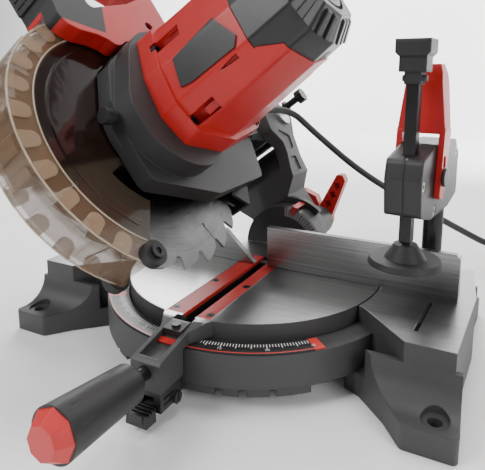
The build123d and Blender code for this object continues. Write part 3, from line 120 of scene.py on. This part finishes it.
class Finish:  # one procedural material
    def __init__(self, name, **constants):
        self.material = bpy.data.materials.new(name)
        self.material.use_nodes = True
        self.tree = self.material.node_tree
        self.shader = self.tree.nodes["Principled BSDF"]
        self.spots = {}
        self.set(**constants)

    def add(self, kind, settings=None, sockets=None, out=0):
        node = self.tree.nodes.new(kind)
        for key, value in (settings or {}).items():
            setattr(node, key, value)
        for key, value in (sockets or {}).items():
            self.join(node.inputs[key], value)
        return Wire(self, node.outputs[out])

    def join(self, socket, value):
        if isinstance(value, Wire):
            self.tree.links.new(value.socket, socket)
        elif isinstance(value, (tuple, list)) and len(value) == 3 and socket.type == "RGBA":
            socket.default_value = (*value, 1)
        else:
            socket.default_value = value

    def set(self, **values):
        for key, value in values.items():
            self.join(self.shader.inputs[key.replace("_", " ")], value)

    def place(self):  # the frame's own metres
        if "place" not in self.spots:
            self.spots["place"] = self.add("ShaderNodeTexCoord", out="Object")
        return self.spots["place"]

    def facing(self):
        if "facing" not in self.spots:
            normal = self.add("ShaderNodeTexCoord", out="Normal")
            self.spots["facing"] = self.split(normal)
        return self.spots["facing"]

    def split(self, vector):
        node = self.tree.nodes.new("ShaderNodeSeparateXYZ")
        self.tree.links.new(vector.socket, node.inputs[0])
        return [Wire(self, s) for s in node.outputs]

    def xyz(self):
        if "xyz" not in self.spots:
            self.spots["xyz"] = self.split(self.place())
        return self.spots["xyz"]

    def headXyz(self):  # n, y and u of the head, in metres
        if "head" not in self.spots:
            x, y, z = self.xyz()
            rise = z - tableTop * mm
            self.spots["head"] = [x * tiltCos + rise * tiltSin, y, rise * tiltCos - x * tiltSin]
        return self.spots["head"]

    def arborSpot(self):  # y and u from the blade's arbor, and the distance from it, in metres
        y, u = self.headXyz()[1:]
        dy, du = y - arborAt[0] * mm, u - arborAt[1] * mm
        return dy, du, (dy * dy + du * du) ** 0.5

    def vector(self, x, y, z):
        return self.add("ShaderNodeCombineXYZ", None, {0: x, 1: y, 2: z})

    def noise(self, scale, detail=2.0, rough=0.5, at=None):
        sockets = {"Vector": at or self.place(), "Scale": scale, "Detail": detail, "Roughness": rough}
        return self.add("ShaderNodeTexNoise", None, sockets)

    def blend(self, mask, a, b):
        return self.add("ShaderNodeMix", {"data_type": "RGBA"}, {0: mask, 6: a, 7: b}, out=2)

    def bump(self, height, strength, distance, rounding=0.0):
        sockets = {"Height": height, "Strength": strength, "Distance": distance}
        if rounding:
            sockets["Normal"] = self.add("ShaderNodeBevel", {"samples": 4}, {"Radius": rounding})
        self.set(Normal=self.add("ShaderNodeBump", None, sockets))
        return self


# finishes

castLook = {
    "dark": (0.036, 0.036, 0.037), "pale": (0.046, 0.046, 0.047), "grain": 1300, "skin": 2600, "patch": 14,
    "rough": 0.46, "spread": 0.12, "round": 0.0012,
}
groundLook = {
    "low": (0.21, 0.21, 0.21), "high": (0.40, 0.40, 0.395), "edge": (0.12, 0.12, 0.12),
    "along": 5, "across": 2600, "rough": 0.20, "spread": 0.2, "level": 0.9, "under": 0.4,
}


def castBody(finish, shade=1.0):  # powder-coated casting: tone, roughness and skin height
    speck = finish.noise(castLook["grain"], 3, 0.6)
    patch = finish.noise(castLook["patch"], 2, 0.5)
    dark, pale = ([v * shade for v in castLook[key]] for key in ("dark", "pale"))
    tone = finish.blend((speck * 0.8 + patch * 0.3).ease(0.4, 0.8), dark, pale)
    skin = speck + finish.noise(castLook["skin"], 1) * 0.35
    return tone, castLook["rough"] + speck * castLook["spread"], skin


def brushed(finish):  # ground metal with long fine lines along X
    x, y, z = finish.xyz()
    along, across = groundLook["along"], groundLook["across"]
    line = finish.noise(1.0, 3, 0.7, finish.vector(x * along, y * across, z * across))
    tone = finish.blend(line.ease(0.25, 0.8), groundLook["low"], groundLook["high"])
    return tone, groundLook["rough"] + line * groundLook["spread"], line


def castFinish(name, shade=1.0):
    f = Finish(name)
    tone, rough, skin = castBody(f, shade)
    f.set(Base_Color=tone, Roughness=rough)
    return f.bump(skin, 0.22, 0.0002, castLook["round"]).material


def castGround(name, within=0):  # casting whose top face is ground bright
    f = Finish(name)
    tone, rough, skin = castBody(f)
    bright, gloss, line = brushed(f)
    x, y, z = f.xyz()
    top = (f.facing()[2] > groundLook["level"]) * (z > (tableTop - groundLook["under"]) * mm)
    if within:  # the arm and the rear bracket keep their paint
        top = top * ((x * x + y * y) < within ** 2)
    f.set(Base_Color=f.blend(top, tone, bright), Metallic=top, Roughness=rough + top * (gloss - rough))
    return f.bump(skin + top * (line * 0.5 - skin), 0.2, 0.0002, castLook["round"]).material


def groundPlate(name, edgeFrom):  # bright plate with a dark top edge
    f = Finish(name, Metallic=1.0)
    bright, gloss, line = brushed(f)
    edge = f.xyz()[2] > edgeFrom
    f.set(Base_Color=f.blend(edge, bright, groundLook["edge"]), Roughness=gloss)
    return f.bump(line, 0.12, 0.0001, 0.0005).material


def plastic(name, color, pale, rough=0.4, grain=1500, strength=0.2, rounding=0.0008, shine=0.5):
    f = Finish(name, Specular_IOR_Level=shine)
    speck = f.noise(grain, 2, 0.6)
    cloud = f.noise(30, 2, 0.5)
    tone = f.blend((cloud * 0.5 + speck * 0.5).ease(0.35, 0.75), color, pale)
    f.set(Base_Color=tone, Roughness=rough + (speck - 0.5) * 0.18 + (cloud - 0.5) * 0.12)
    return f.bump(speck, strength, 0.00012, rounding).material


def turnedSteel(name, color, rough=0.3, metal=1.0):
    f = Finish(name, Metallic=metal)
    fine = f.noise(1800, 2, 0.6)
    cloud = f.noise(90, 3, 0.6)
    dull = [v * 0.62 for v in color]
    f.set(Base_Color=f.blend(cloud.ease(0.3, 0.8), color, dull), Roughness=rough + fine * 0.18)
    return f.bump(fine, 0.12, 0.00008, 0.0003).material


bladeLook = {
    "rim": 94, "rings": 5200, "along": 30, "tone": (0.085, 0.085, 0.085), "lit": (0.20, 0.20, 0.198),
    "tip": (0.22, 0.22, 0.22), "rough": 0.22,
}


def bladeSteel(name):  # ground in fine rings about the arbor
    f = Finish(name, Metallic=1.0)
    dy, du, radius = f.arborSpot()
    at = f.vector(radius * bladeLook["rings"], dy * bladeLook["along"], du * bladeLook["along"])
    line = f.noise(1.0, 2, 0.7, at)
    cloud = f.noise(40, 3, 0.6)
    tone = f.blend((line * 0.7 + cloud * 0.5).ease(0.35, 0.85), bladeLook["tone"], bladeLook["lit"])
    tip = radius > bladeLook["rim"] * mm
    rough = bladeLook["rough"] + line * 0.14 + tip * 0.08
    f.set(Base_Color=f.blend(tip * 0.5, tone, bladeLook["tip"]), Roughness=rough)
    return f.bump(line, 0.5, 0.00024).material


# colours of the smoked guard, with painted light in them: deep and low are painted shade behind the guard, and
# amber is the plastic's tint brightened as painted backlight
smokeLook = {
    "band": (0.0965, 0.0985), "foot": (0.119, 0.124), "solid": 0.80, "clearest": 0.46,
    "deep": (0.016, 0.008, 0.006), "low": (0.06, 0.042, 0.029), "amber": (0.22, 0.135, 0.078),
}


def smokedPlastic(name):  # amber tint of its own, with painted light: the outer band's bright amber is painted backlight, and the dark inside is painted shade, lighter towards its foot, where it is also clearer
    f = Finish(name, IOR=1.5)
    u = f.headXyz()[2]
    band = f.arborSpot()[2].ease(*smokeLook["band"])
    below = 1.0 - u.ease(*smokeLook["foot"])
    cloud = f.noise(26, 3, 0.6)
    # painted light: dark base colour inside the band paints shade, bright amber in the band paints backlight
    # through the plastic
    tone = f.blend(band, f.blend(below, smokeLook["deep"], smokeLook["low"]), smokeLook["amber"])
    clear = (band * 0.32 + below * 0.28).low(smokeLook["clearest"])
    f.set(Base_Color=tone, Roughness=0.05 + cloud * 0.06, Alpha=smokeLook["solid"] - clear)
    return f.bump(cloud, 0.3, 0.0010, 0.0008).material


housingRed = ((0.40, 0.012, 0.011), (0.44, 0.016, 0.014))
softLook = {
    "edge": -0.058, "from": 0.229, "lean": 0.5, "rim": 0.2335, "slope": 0.27, "nose": -0.097, "arc": 0.1255,
    "split": 0.0168, "black": ((0.008, 0.008, 0.008), (0.014, 0.014, 0.014)),
}


def handleShell(name):  # red shell whose front half carries a soft black cover inside a red rim
    f = Finish(name)
    n, y, u = f.headXyz()
    speck = f.noise(1500, 2, 0.6)
    front = y < (u - softLook["from"]) * softLook["lean"] + softLook["edge"]
    inner = (n < softLook["split"]) * (f.arborSpot()[2] > softLook["arc"])
    outer = (n > softLook["split"]) * (u > (y - softLook["nose"]) * -softLook["slope"] + softLook["rim"])
    cover = front * inner.top(outer)
    tone = f.blend(cover, f.blend(speck, *housingRed), f.blend(speck, *softLook["black"]))
    f.set(Base_Color=tone, Roughness=0.32 + speck * 0.1 + cover * 0.16)
    return f.bump(speck * (0.3 + cover * 0.7) + cover * 1.5, 0.3, 0.0003, 0.0014).material


pointerLook = {
    "leaf": -0.1275, "red": (0.45, 0.016, 0.014), "black": ((0.010, 0.010, 0.010), (0.016, 0.016, 0.016)),
}


def pointerBlock(name):  # black block whose front leaf is red
    f = Finish(name)
    speck = f.noise(1500, 2, 0.6)
    leaf = f.xyz()[1] < pointerLook["leaf"]
    tone = f.blend(leaf, f.blend(speck, *pointerLook["black"]), pointerLook["red"])
    f.set(Base_Color=tone, Roughness=0.36 + speck * 0.12)
    return f.bump(speck, 0.15, 0.0001, 0.0005).material


scaleLook = {
    "low": 0.1143, "one": (1, 0.13, 0.0036), "five": (5, 0.15, 0.0052),  # degrees, half width, length
    "line": 0.1249, "half": 0.0005, "end": 44.6, "last": 52,
    "black": ((0.010, 0.010, 0.010), (0.020, 0.020, 0.020)),
    "white": (0.80, 0.80, 0.78), "red": (0.58, 0.035, 0.03),
}


def scaleRing(name):  # black ring with white degree marks inside a red line
    f = Finish(name)
    x, y, _ = f.xyz()
    angle = x.turn(y * -1)
    radius = (x * x + y * y) ** 0.5

    def ticks(step, half, long):
        return (angle.wrap(step) < half) * (radius > scaleLook["low"]) * (radius < scaleLook["low"] + long)

    ink = ticks(*scaleLook["one"]).top(ticks(*scaleLook["five"]))
    red = (abs(radius - scaleLook["line"]) < scaleLook["half"]).top(abs(angle) > scaleLook["end"])
    red = red * (abs(angle) < scaleLook["last"])
    speck = f.noise(1400, 2)
    tone = f.blend(ink, f.blend(speck, *scaleLook["black"]), scaleLook["white"])
    f.set(Base_Color=f.blend(red, tone, scaleLook["red"]), Roughness=0.36 + speck * 0.12)
    return f.bump(speck, 0.12, 0.00006).material


bevelLook = {
    "ink": (0.02, 0.02, 0.02), "grey": ((0.24, 0.24, 0.24), (0.34, 0.34, 0.34)), "five": 0.35, "fifteen": 0.6,
    "fade": (0.02, 0.03),
}


def bevelRing(name):  # grey arc with dark marks about the bevel axis
    f = Finish(name)
    x, _, z = f.xyz()
    rise = z - tableTop * mm
    angle = x.turn(rise)
    radius = (x * x + rise * rise) ** 0.5
    marks = (angle.wrap(5) < bevelLook["five"]).top(angle.wrap(15) < bevelLook["fifteen"])
    ink = marks * radius.ease(*bevelLook["fade"])
    speck = f.noise(1400, 2)
    tone = f.blend(ink, f.blend(speck, *bevelLook["grey"]), bevelLook["ink"])
    f.set(Base_Color=tone, Roughness=0.4 + speck * 0.15)
    return f.bump(speck, 0.12, 0.00006).material


finishes = {
    "casting": castFinish("castingGrey"),
    "caseGrey": castFinish("castingDark", 0.5),
    "base": castGround("castingGroundWings"),
    "table": castGround("castingGroundTable", 0.1165),
    "fence": groundPlate("fenceGround", 0.0882),
    "red": plastic("redHousing", *housingRed, 0.36, shine=0.4),
    "redPlate": plastic("redKerfPlate", (0.42, 0.020, 0.016), (0.50, 0.030, 0.024), 0.44, shine=0.3),
    "black": plastic("blackMoulding", (0.010, 0.010, 0.010), (0.015, 0.015, 0.015), 0.40),
    "grey": plastic("greyMoulding", (0.013, 0.013, 0.013), (0.018, 0.018, 0.018), 0.46),
    "rubber": plastic("softBlack", (0.010, 0.010, 0.010), (0.018, 0.018, 0.017), 0.62, 2400, 0.3),
    "cable": plastic("cordSheath", (0.012, 0.012, 0.012), (0.020, 0.020, 0.020), 0.5, 2600),
    "steel": turnedSteel("turnedSteel", (0.55, 0.55, 0.54)),
    "darkSteel": turnedSteel("blackedSteel", (0.022, 0.022, 0.023), 0.22, 0.6),
    "screw": turnedSteel("blackScrew", (0.035, 0.035, 0.036), 0.3, 0.8),
    "copper": turnedSteel("windings", (0.55, 0.26, 0.12), 0.35),
    "blade": bladeSteel("bladeSteel"),
    "smoke": smokedPlastic("smokedGuardPaintedLight"),
    "handle": handleShell("handleShell"),
    "pointer": pointerBlock("pointerBlock"),
    "clamp": plastic("clampBody", (0.012, 0.012, 0.012), (0.017, 0.017, 0.017), 0.42, rounding=0.003),
    "capRed": plastic("gripCapRed", (0.50, 0.020, 0.020), (0.56, 0.028, 0.027), 0.38),
    "scale": scaleRing("miterScale"),
    "bevel": bevelRing("bevelScale"),
}
wornBy = {
    "casting": "arm_casting upper_guard",
    "caseGrey": "gear_case",
    "base": "base_casting",
    "table": "turntable",
    "fence": "fence_right fence_left",
    "red": "motor_housing clamp_lever bevel_lever bevel_pointer",
    "handle": "handle_left handle_right",
    "pointer": "miter_pointer",
    "capRed": "grip_cap",
    "redPlate": "kerf_plate_left kerf_plate_right",
    "black": "dust_chute motor_end_cap lock_off_button trigger cord_gland power_plug cord_tie spindle_lock "
             "detent_lever detent_housing",
    "grey": "lock_grip",
    "clamp": "clamp_shell_left clamp_shell_right clamp_knob",
    "rubber": "soft_grip roller_right roller_left clamp_foot",
    "cable": "cord cord_coil",
    "steel": "pivot_bolt fence_screws bevel_bolt chop_pin bearings arbor blade_flanges blade_bolt "
             "driven_gear armature clamp_screws",
    "screw": "housing_screws roller_screws kerf_screws",
    "copper": "stator",
    "darkSteel": "lock_rod latch_pin clamp_post clamp_bar",
    "blade": "saw_blade",
    "smoke": "lower_guard",
    "scale": "miter_scale",
    "bevel": "bevel_scale",
}
dressed = set()
for key, names in wornBy.items():
    for name in names.split():
        mesh = nodes[name].data
        mesh.materials.clear()
        mesh.materials.append(finishes[key])
        dressed.add(name)
print("finishes:", len(finishes), "on", len(dressed), "nodes; bare:", sorted(set(nodes) - dressed))


# camera, light and floor

cameraLook = {
    "place": (0.19009, -0.37889, 0.21701),
    "right": (0.90326, 0.42895, 0.01078),
    "up": (-0.07885, 0.14123, 0.98683),
    "ahead": (-0.42178, 0.89222, -0.16139),
    "lens": 37.08,
    "shift": (-0.0553, -0.1550),
}


def makeCamera():
    data = bpy.data.cameras.new("camera")
    data.lens, data.sensor_width = cameraLook["lens"], 36
    data.shift_x, data.shift_y = cameraLook["shift"]
    data.clip_start = 0.01
    camera = bpy.data.objects.new("camera", data)
    bpy.context.scene.collection.objects.link(camera)
    r, u, a = (Vector(cameraLook[k]) for k in ("right", "up", "ahead"))
    turn = Matrix((r, u, -a)).transposed().to_4x4()
    camera.matrix_world = Matrix.Translation(cameraLook["place"]) @ turn
    bpy.context.scene.camera = camera


lampLook = {  # place, aim, size in metres, watts
    "key": ((-0.85, -1.05, 1.25), (-0.02, 0, 0.12), 0.8, 21),
    "right": ((1.35, -0.65, 0.75), (0.05, 0, 0.12), 0.7, 12),
    "top": ((0.1, 0.35, 1.7), (0, 0, 0.1), 1.1, 20),
    "back": ((-0.9, 1.1, 0.9), (0, 0.05, 0.2), 0.8, 16),
    "wallLeft": ((-1.6, 0.9, 0.75), (-1.9, 2.9, 0.75), 1.4, 130),
    "wallRight": ((1.0, 1.0, 0.75), (0.3, 2.9, 0.75), 1.4, 130),
}
skyLook = {"color": (1, 1, 1, 1), "strength": 0.26}


def makeLights():
    for name, (place, aim, size, power) in lampLook.items():
        data = bpy.data.lights.new(name, "AREA")
        data.shape, data.size, data.energy = "DISK", size, power
        lamp = bpy.data.objects.new(name, data)
        lamp.location = place
        lamp.rotation_euler = (Vector(aim) - Vector(place)).to_track_quat("-Z", "Y").to_euler()
        bpy.context.scene.collection.objects.link(lamp)
    world = bpy.data.worlds.new("studio")
    bpy.context.scene.world = world
    world.use_nodes = True
    sky = world.node_tree.nodes["Background"]
    sky.inputs["Color"].default_value = skyLook["color"]
    sky.inputs["Strength"].default_value = skyLook["strength"]


floorLook = {
    "front": 3.0, "back": 3.0, "curve": 1.2, "steps": 12, "tall": 3.5, "wide": 6.0, "under": 0.0004,
    "tone": (0.93, 0.93, 0.93), "rough": 0.6,
}


def makeFloor():
    mesh = bpy.data.meshes.new("floor")
    path = [(-floorLook["front"], 0)]
    for k in range(floorLook["steps"] + 1):  # the sheet curves up behind the saw
        a = math.pi / 2 * k / floorLook["steps"]
        r = floorLook["curve"]
        path.append((floorLook["back"] - r + r * math.sin(a), r - r * math.cos(a)))
    path.append((floorLook["back"], floorLook["tall"]))
    corners = [(x, y, z) for y, z in path for x in (-floorLook["wide"], floorLook["wide"])]
    mesh.from_pydata(corners, [], [(2 * k, 2 * k + 1, 2 * k + 3, 2 * k + 2) for k in range(len(path) - 1)])
    mesh.shade_smooth()
    floor = bpy.data.objects.new("floor", mesh)
    floor.location.z = -floorLook["under"]
    bpy.context.scene.collection.objects.link(floor)
    pale = Finish("paleFloor", Base_Color=floorLook["tone"], Roughness=floorLook["rough"])
    mesh.materials.append(pale.material)


makeCamera()
makeLights()
makeFloor()
print("camera, lights and floor set")


# power cord

cordLook = {  # millimetres; the coil's heights and turns are counted from where the lead comes in
    "radius": 3.5,
    "run": [
        (-38, 80, 184), (-27, 124, 187), (-2, 146, 157),
        (50, 158, 114), (103, 180, 81), (152, 200, 52.6),
    ],
    "lead": 55, "start": (237.6, 249.5), "heading": 30,
    "outer": 43.7, "inner": 36.0, "low": 5.2, "pitch": 9.0,
    "down": 2.5, "across": 0.5, "up": 2.5, "off": 0.6, "plug": 41.0, "perTurn": 16,
}


def coilPoint(turn):  # down outside, across and up inside, then up to the plug
    k = cordLook
    into = min(max((turn - k["down"]) / k["across"], 0), 1)
    r = k["inner"] + (k["outer"] - k["inner"]) * (1 + math.cos(math.pi * into)) / 2
    z = k["low"] + k["pitch"] * max(k["down"] - turn, 0)
    climb = turn - k["down"] - k["across"]
    if climb > 0:
        z += k["pitch"] * min(climb, k["up"])
    lift = min(max((climb - k["up"]) / k["off"], 0), 1)
    z += (k["plug"] - k["low"] - k["pitch"] * k["up"]) * (1 - math.cos(math.pi * lift)) / 2
    head = math.radians(k["heading"])
    x = k["start"][0] + k["outer"] * math.sin(head)
    y = k["start"][1] - k["outer"] * math.cos(head)
    a = head + math.pi / 2 - 2 * math.pi * turn
    return Vector((x + r * math.cos(a), y + r * math.sin(a), z))


def cordPiece(name, points, exitAt, stands):
    # one stretch of the cord, laid as a tube along its points
    curve = bpy.data.curves.new(name, "CURVE")
    curve.dimensions, curve.resolution_u = "3D", 6
    spline = curve.splines.new("NURBS")
    spline.points.add(len(points) - 1)
    for knot, p in zip(spline.points, points):
        knot.co = (*(p * mm), 1)
    spline.order_u = 3
    spline.use_endpoint_u = True
    line = bpy.data.objects.new(name + "Line", curve)
    bpy.context.scene.collection.objects.link(line)
    bpy.context.view_layer.update()
    bare = bpy.data.meshes.new_from_object(line.evaluated_get(bpy.context.evaluated_depsgraph_get()))
    path = [v.co.copy() for v in bare.vertices]
    curve.bevel_depth, curve.bevel_resolution = cordLook["radius"] * mm, 5
    bpy.context.view_layer.update()
    tube = bpy.data.meshes.new_from_object(line.evaluated_get(bpy.context.evaluated_depsgraph_get()))
    bpy.data.objects.remove(line)
    bpy.data.meshes.remove(bare)
    tube.materials.clear()
    tube.materials.append(finishes["cable"])
    tube.shade_smooth()
    cord = bpy.data.objects.new(name, tube)
    bpy.context.scene.collection.objects.link(cord)
    tuple(points[exitAt] * mm)
    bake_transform(cord)
    if stands:
        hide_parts(*stands)
    long = sum((b - a).length for a, b in zip(path, path[1:]))
    return long


def makeCord():
    last = cordLook["down"] + cordLook["across"] + cordLook["up"] + cordLook["off"]
    steps = round(last * cordLook["perTurn"])
    way = (coilPoint(0.004) - coilPoint(-0.004)).normalized()
    run = [Vector(p) for p in cordLook["run"]] + [coilPoint(0) - way * cordLook["lead"]]
    coil = [coilPoint(last * k / steps) for k in range(steps + 1)]
    high, mid = (run[1] + run[2]) / 2, (run[3] + run[4]) / 2
    long = cordPiece("cordAtHead", run[:2] + [high], -1, [])
    long += cordPiece("cordAtArm", [high] + run[2:4] + [mid], -1,
                      ["cord"])
    long += cordPiece("cordLead", [mid] + run[4:] + coil, 3,
                      ["cord_coil"])
    print("cord laid, metres:", round(long, 3))


makeCord()


# small pieces that the castings and mouldings carry

def addPiece(name, shape, finish, body, place=(0, 0, 0), turn=0.0):
    shape.materials.append(finishes[finish])
    piece = bpy.data.objects.new(name, shape)
    piece.location = place
    piece.rotation_euler.z = turn
    bpy.context.scene.collection.objects.link(piece)
    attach(piece, body)
    return piece


def roundEdges(piece, width):
    soft = piece.modifiers.new("round", "BEVEL")
    soft.width, soft.segments, soft.limit_method = width * mm, 2, "ANGLE"


def meshFrom(name, bm):
    bmesh.ops.recalc_face_normals(bm, faces=bm.faces)
    mesh = bpy.data.meshes.new(name)
    bm.to_mesh(mesh)
    bm.free()
    return mesh


def prism(bm, foot, rise):  # solid between two loops of points
    foot, rise = ([bm.verts.new(p) for p in loop] for loop in (foot, rise))
    bm.faces.new(foot[::-1])
    bm.faces.new(rise)
    for i in range(len(foot)):
        j = (i + 1) % len(foot)
        bm.faces.new((foot[i], foot[j], rise[j], rise[i]))


# dark panel on the motor, pressed on from the front: its outline is in n and u

panelLook = {
    "outline": [(75, 140), (79, 162), (121, 166), (131, 143), (126, 136.5), (84, 137.5)],
    "step": 3.0, "from": -220, "miss": -70, "lift": 0.5, "thick": 0.7,
}


def motorPanel(name, carrier):
    bm = bmesh.new()
    outline, step = panelLook["outline"], panelLook["step"]
    bm.faces.new([bm.verts.new((n, 0, u)) for n, u in outline])
    # cut into small squares that can follow a curve
    for axis, k in ((Vector((1, 0, 0)), 0), (Vector((0, 0, 1)), 1)):
        low, high = min(p[k] for p in outline), max(p[k] for p in outline)
        at = low + step
        while at < high:
            geometry = bm.verts[:] + bm.edges[:] + bm.faces[:]
            bmesh.ops.bisect_plane(bm, geom=geometry, plane_co=axis * at, plane_no=axis, dist=1e-5)
            at += step
    for v in bm.verts:
        hit, spot = carrier.ray_cast(headPoint(v.co.x, panelLook["from"], v.co.z), Vector((0, 1, 0)))[:2]
        lifted = spot + Vector((0, -panelLook["lift"] * mm, 0))
        v.co = lifted if hit else headPoint(v.co.x, panelLook["miss"], v.co.z)
    panel = addPiece(name, meshFrom(name, bm), "black", "head")
    solid = panel.modifiers.new("thick", "SOLIDIFY")
    solid.thickness, solid.offset = panelLook["thick"] * mm, 1.0


motorPanel("motorPanel", nodes["motor_housing"])


# degree numbers on the miter scale

numberLook = {
    "radius": 121.4, "high": 41.3, "size": 3.4, "deep": 0.03, "marks": (-45, -30, -15, 0, 15, 30, 45),
}
finishes["ink"] = plastic("whiteInk", (0.74, 0.74, 0.72), (0.82, 0.82, 0.80), 0.5)


def degreeNumber(mark):
    text = bpy.data.curves.new("degree%d" % mark, "FONT")
    text.body, text.size, text.extrude = str(abs(mark)), numberLook["size"] * mm, numberLook["deep"] * mm
    text.align_x, text.align_y = "CENTER", "CENTER"
    a = math.radians(mark)
    r = numberLook["radius"] * mm
    place = (r * math.sin(a), -r * math.cos(a), numberLook["high"] * mm)
    addPiece("degree%d" % mark, text, "ink", "base", place, a)


for mark in numberLook["marks"]:
    degreeNumber(mark)
print("panel and numbers made")


# raised tabs round the rim of the clear guard, and thin pale tubes along its edges, which are painted
# highlights

guardSides = {"right": (15.0, 1), "left": (-18.0, -1)}  # a face's place across the blade, and its outward side
tabLook = {
    "count": 12, "start": 89.0, "step": 11.6, "wide": 6.5, "inner": 101.5, "outer": 116.4,
    "end": 5, "steps": 8, "sunk": 0.2, "high": 1.2, "round": 0.45,
}
highlightBeadLook = {  # pale tubes that paint highlights along the guard's edges: radius about the arbor, place across the blade, thickness
    "guardSeamRight": (116.0, 15.0, 0.7),
    "guardSeamLeft": (116.0, -18.0, 0.7),
    "guardBeadRight": (98.6, 15.3, 0.6),
}
highlightTubeLook = {"from": 85.5, "to": 230, "step": 3, "sides": 8}


def clearAmber(name, dark, pale, solid):
    f = Finish(name, IOR=1.5)
    cloud = f.noise(60, 2, 0.5)
    f.set(Base_Color=f.blend(cloud, dark, pale), Roughness=0.06 + cloud * 0.06, Alpha=solid)
    return f.bump(cloud, 0.25, 0.0006, 0.0004).material


finishes["amber"] = clearAmber("amberTabs", (0.36, 0.245, 0.155), (0.46, 0.33, 0.225), 0.46)
# painted highlight: the pale amber of the rim tubes stands in for light caught along the guard's edges
finishes["rim"] = clearAmber("amberRimPaintedHighlight", (0.52, 0.42, 0.32), (0.66, 0.57, 0.46), 0.55)


def tabOutline(middle):  # y and u round one tab, whose inner end is round
    half, end = tabLook["wide"] / 2, tabLook["end"]
    points = [(tabLook["outer"], middle - half), (tabLook["outer"], middle + half)]
    for k in range(tabLook["steps"] + 1):
        a = math.pi * k / tabLook["steps"]
        points.append((tabLook["inner"] + end - end * math.sin(a), middle + half * math.cos(a)))
    return [arborPoint(r, a) for r, a in points]


def guardTabs(name, face, out):
    bm = bmesh.new()
    for k in range(tabLook["count"]):
        outline = tabOutline(tabLook["start"] + tabLook["wide"] / 2 + tabLook["step"] * k)
        foot = [headPoint(face - tabLook["sunk"] * out, y, u) for y, u in outline]
        rise = [headPoint(face + tabLook["high"] * out, y, u) for y, u in outline]
        prism(bm, foot, rise)
    piece = addPiece(name, meshFrom(name, bm), "amber", "guard")
    roundEdges(piece, tabLook["round"])


# a thin pale tube along one of the guard's edges, as a painted highlight
def rimBead(name, r, n, radius):
    count = int((highlightTubeLook["to"] - highlightTubeLook["from"]) / highlightTubeLook["step"])
    stride = (highlightTubeLook["to"] - highlightTubeLook["from"]) / count
    path = [headPoint(n, *arborPoint(r, highlightTubeLook["from"] + stride * k)) for k in range(count + 1)]
    bm = bmesh.new()
    rings = []
    for k, spot in enumerate(path):
        along = (path[min(k + 1, count)] - path[max(k - 1, 0)]).normalized()
        across = along.cross(Vector((0.3, 0.2, 0.9))).normalized()
        up = along.cross(across)
        ring = []
        for j in range(highlightTubeLook["sides"]):
            a = 2 * math.pi * j / highlightTubeLook["sides"]
            ring.append(bm.verts.new(spot + (across * math.cos(a) + up * math.sin(a)) * radius * mm))
        rings.append(ring)
    for one, two in zip(rings, rings[1:]):
        for j in range(highlightTubeLook["sides"]):
            i = (j + 1) % highlightTubeLook["sides"]
            bm.faces.new((one[j], one[i], two[i], two[j]))
    bm.faces.new(rings[0][::-1])
    bm.faces.new(rings[-1])
    mesh = meshFrom(name, bm)
    mesh.shade_smooth()
    addPiece(name, mesh, "rim", "guard")


for side, (face, out) in guardSides.items():
    guardTabs("guardTabs" + side.title(), face, out)
for name, (r, n, radius) in highlightBeadLook.items():
    rimBead(name, r, n, radius)
print("guard rim made")


# engraved line on the right wing, and the pointer's screw

markLook = {"ends": ((149.2, -9.0), (147.0, -46.0)), "half": 0.8, "low": 52.2, "high": 52.76}
screwLook = {"spot": (-0.2, -120.6), "radius": 3.0, "low": 50.4, "high": 52.9, "sides": 20}


def uprightMesh(name, corners, low, high):
    bm = bmesh.new()
    prism(bm, *([(x * mm, y * mm, z * mm) for x, y in corners] for z in (low, high)))
    return meshFrom(name, bm)


def wingLine(name):
    (x0, y0), (x1, y1) = markLook["ends"]
    half = markLook["half"]
    corners = [(x0 - half, y0), (x0 + half, y0), (x1 + half, y1), (x1 - half, y1)]
    mesh = uprightMesh(name, corners, markLook["low"], markLook["high"])
    addPiece(name, mesh, "black", "base")


def pointerScrew(name):
    x, y = screwLook["spot"]
    ring = []
    for k in range(screwLook["sides"]):
        a = 2 * math.pi * k / screwLook["sides"]
        ring.append((x + screwLook["radius"] * math.cos(a), y + screwLook["radius"] * math.sin(a)))
    mesh = uprightMesh(name, ring, screwLook["low"], screwLook["high"])
    addPiece(name, mesh, "screw", "turntable")


wingLine("wingLine")
pointerScrew("pointerScrew")
print("wing line and pointer screw made")


# rib blocks round the motor cap's end

capLook = {
    "outline": [(-56, 199), (-74, 164), (-80, 132), (-72, 109), (-34, 97), (19, 105), (34, 152), (14, 212)],
    "near": (172.5, 0.842), "far": (187.2, 0.672),  # place across the blade, and the outline's scale there
    "sunk": 2.0, "proud": 2.2, "wide": 8.5, "gap": 5.5, "corner": 8, "round": 0.9,
}


def capPoint(spot, n, scale, proud, outward):
    y = motorAt[0] + scale * (spot[0] - motorAt[0]) + outward[0] * proud
    u = motorAt[1] + scale * (spot[1] - motorAt[1]) + outward[1] * proud
    return headPoint(n, y, u)


def sideRibs(bm, y0, u0, y1, u1):  # the ribs of one flat of the cap
    wide, pitch = capLook["wide"], capLook["wide"] + capLook["gap"]
    span = math.hypot(y1 - y0, u1 - u0)
    along = ((y1 - y0) / span, (u1 - u0) / span)
    outward = (-along[1], along[0])
    if outward[0] * (y0 - motorAt[0]) + outward[1] * (u0 - motorAt[1]) < 0:
        outward = (along[1], -along[0])
    count = max(1, int((span - capLook["corner"]) // pitch))
    first = (span - count * pitch + capLook["gap"]) / 2
    for j in range(count):
        low = first + j * pitch
        ends = [(y0 + along[0] * d, u0 + along[1] * d) for d in (low, low + wide)]
        loops = []
        for n, scale in (capLook["near"], capLook["far"]):
            inner = [capPoint(e, n, scale, -capLook["sunk"], outward) for e in ends]
            outer = [capPoint(e, n, scale, capLook["proud"], outward) for e in ends]
            loops.append(inner + outer[::-1])
        prism(bm, *loops)


def capRibs(name):
    bm = bmesh.new()
    loop = capLook["outline"]
    for (y0, u0), (y1, u1) in zip(loop, loop[1:] + loop[:1]):
        sideRibs(bm, y0, u0, y1, u1)
    piece = addPiece(name, meshFrom(name, bm), "black", "head")
    roundEdges(piece, capLook["round"])


capRibs("capRibs")
print("cap ribs made")
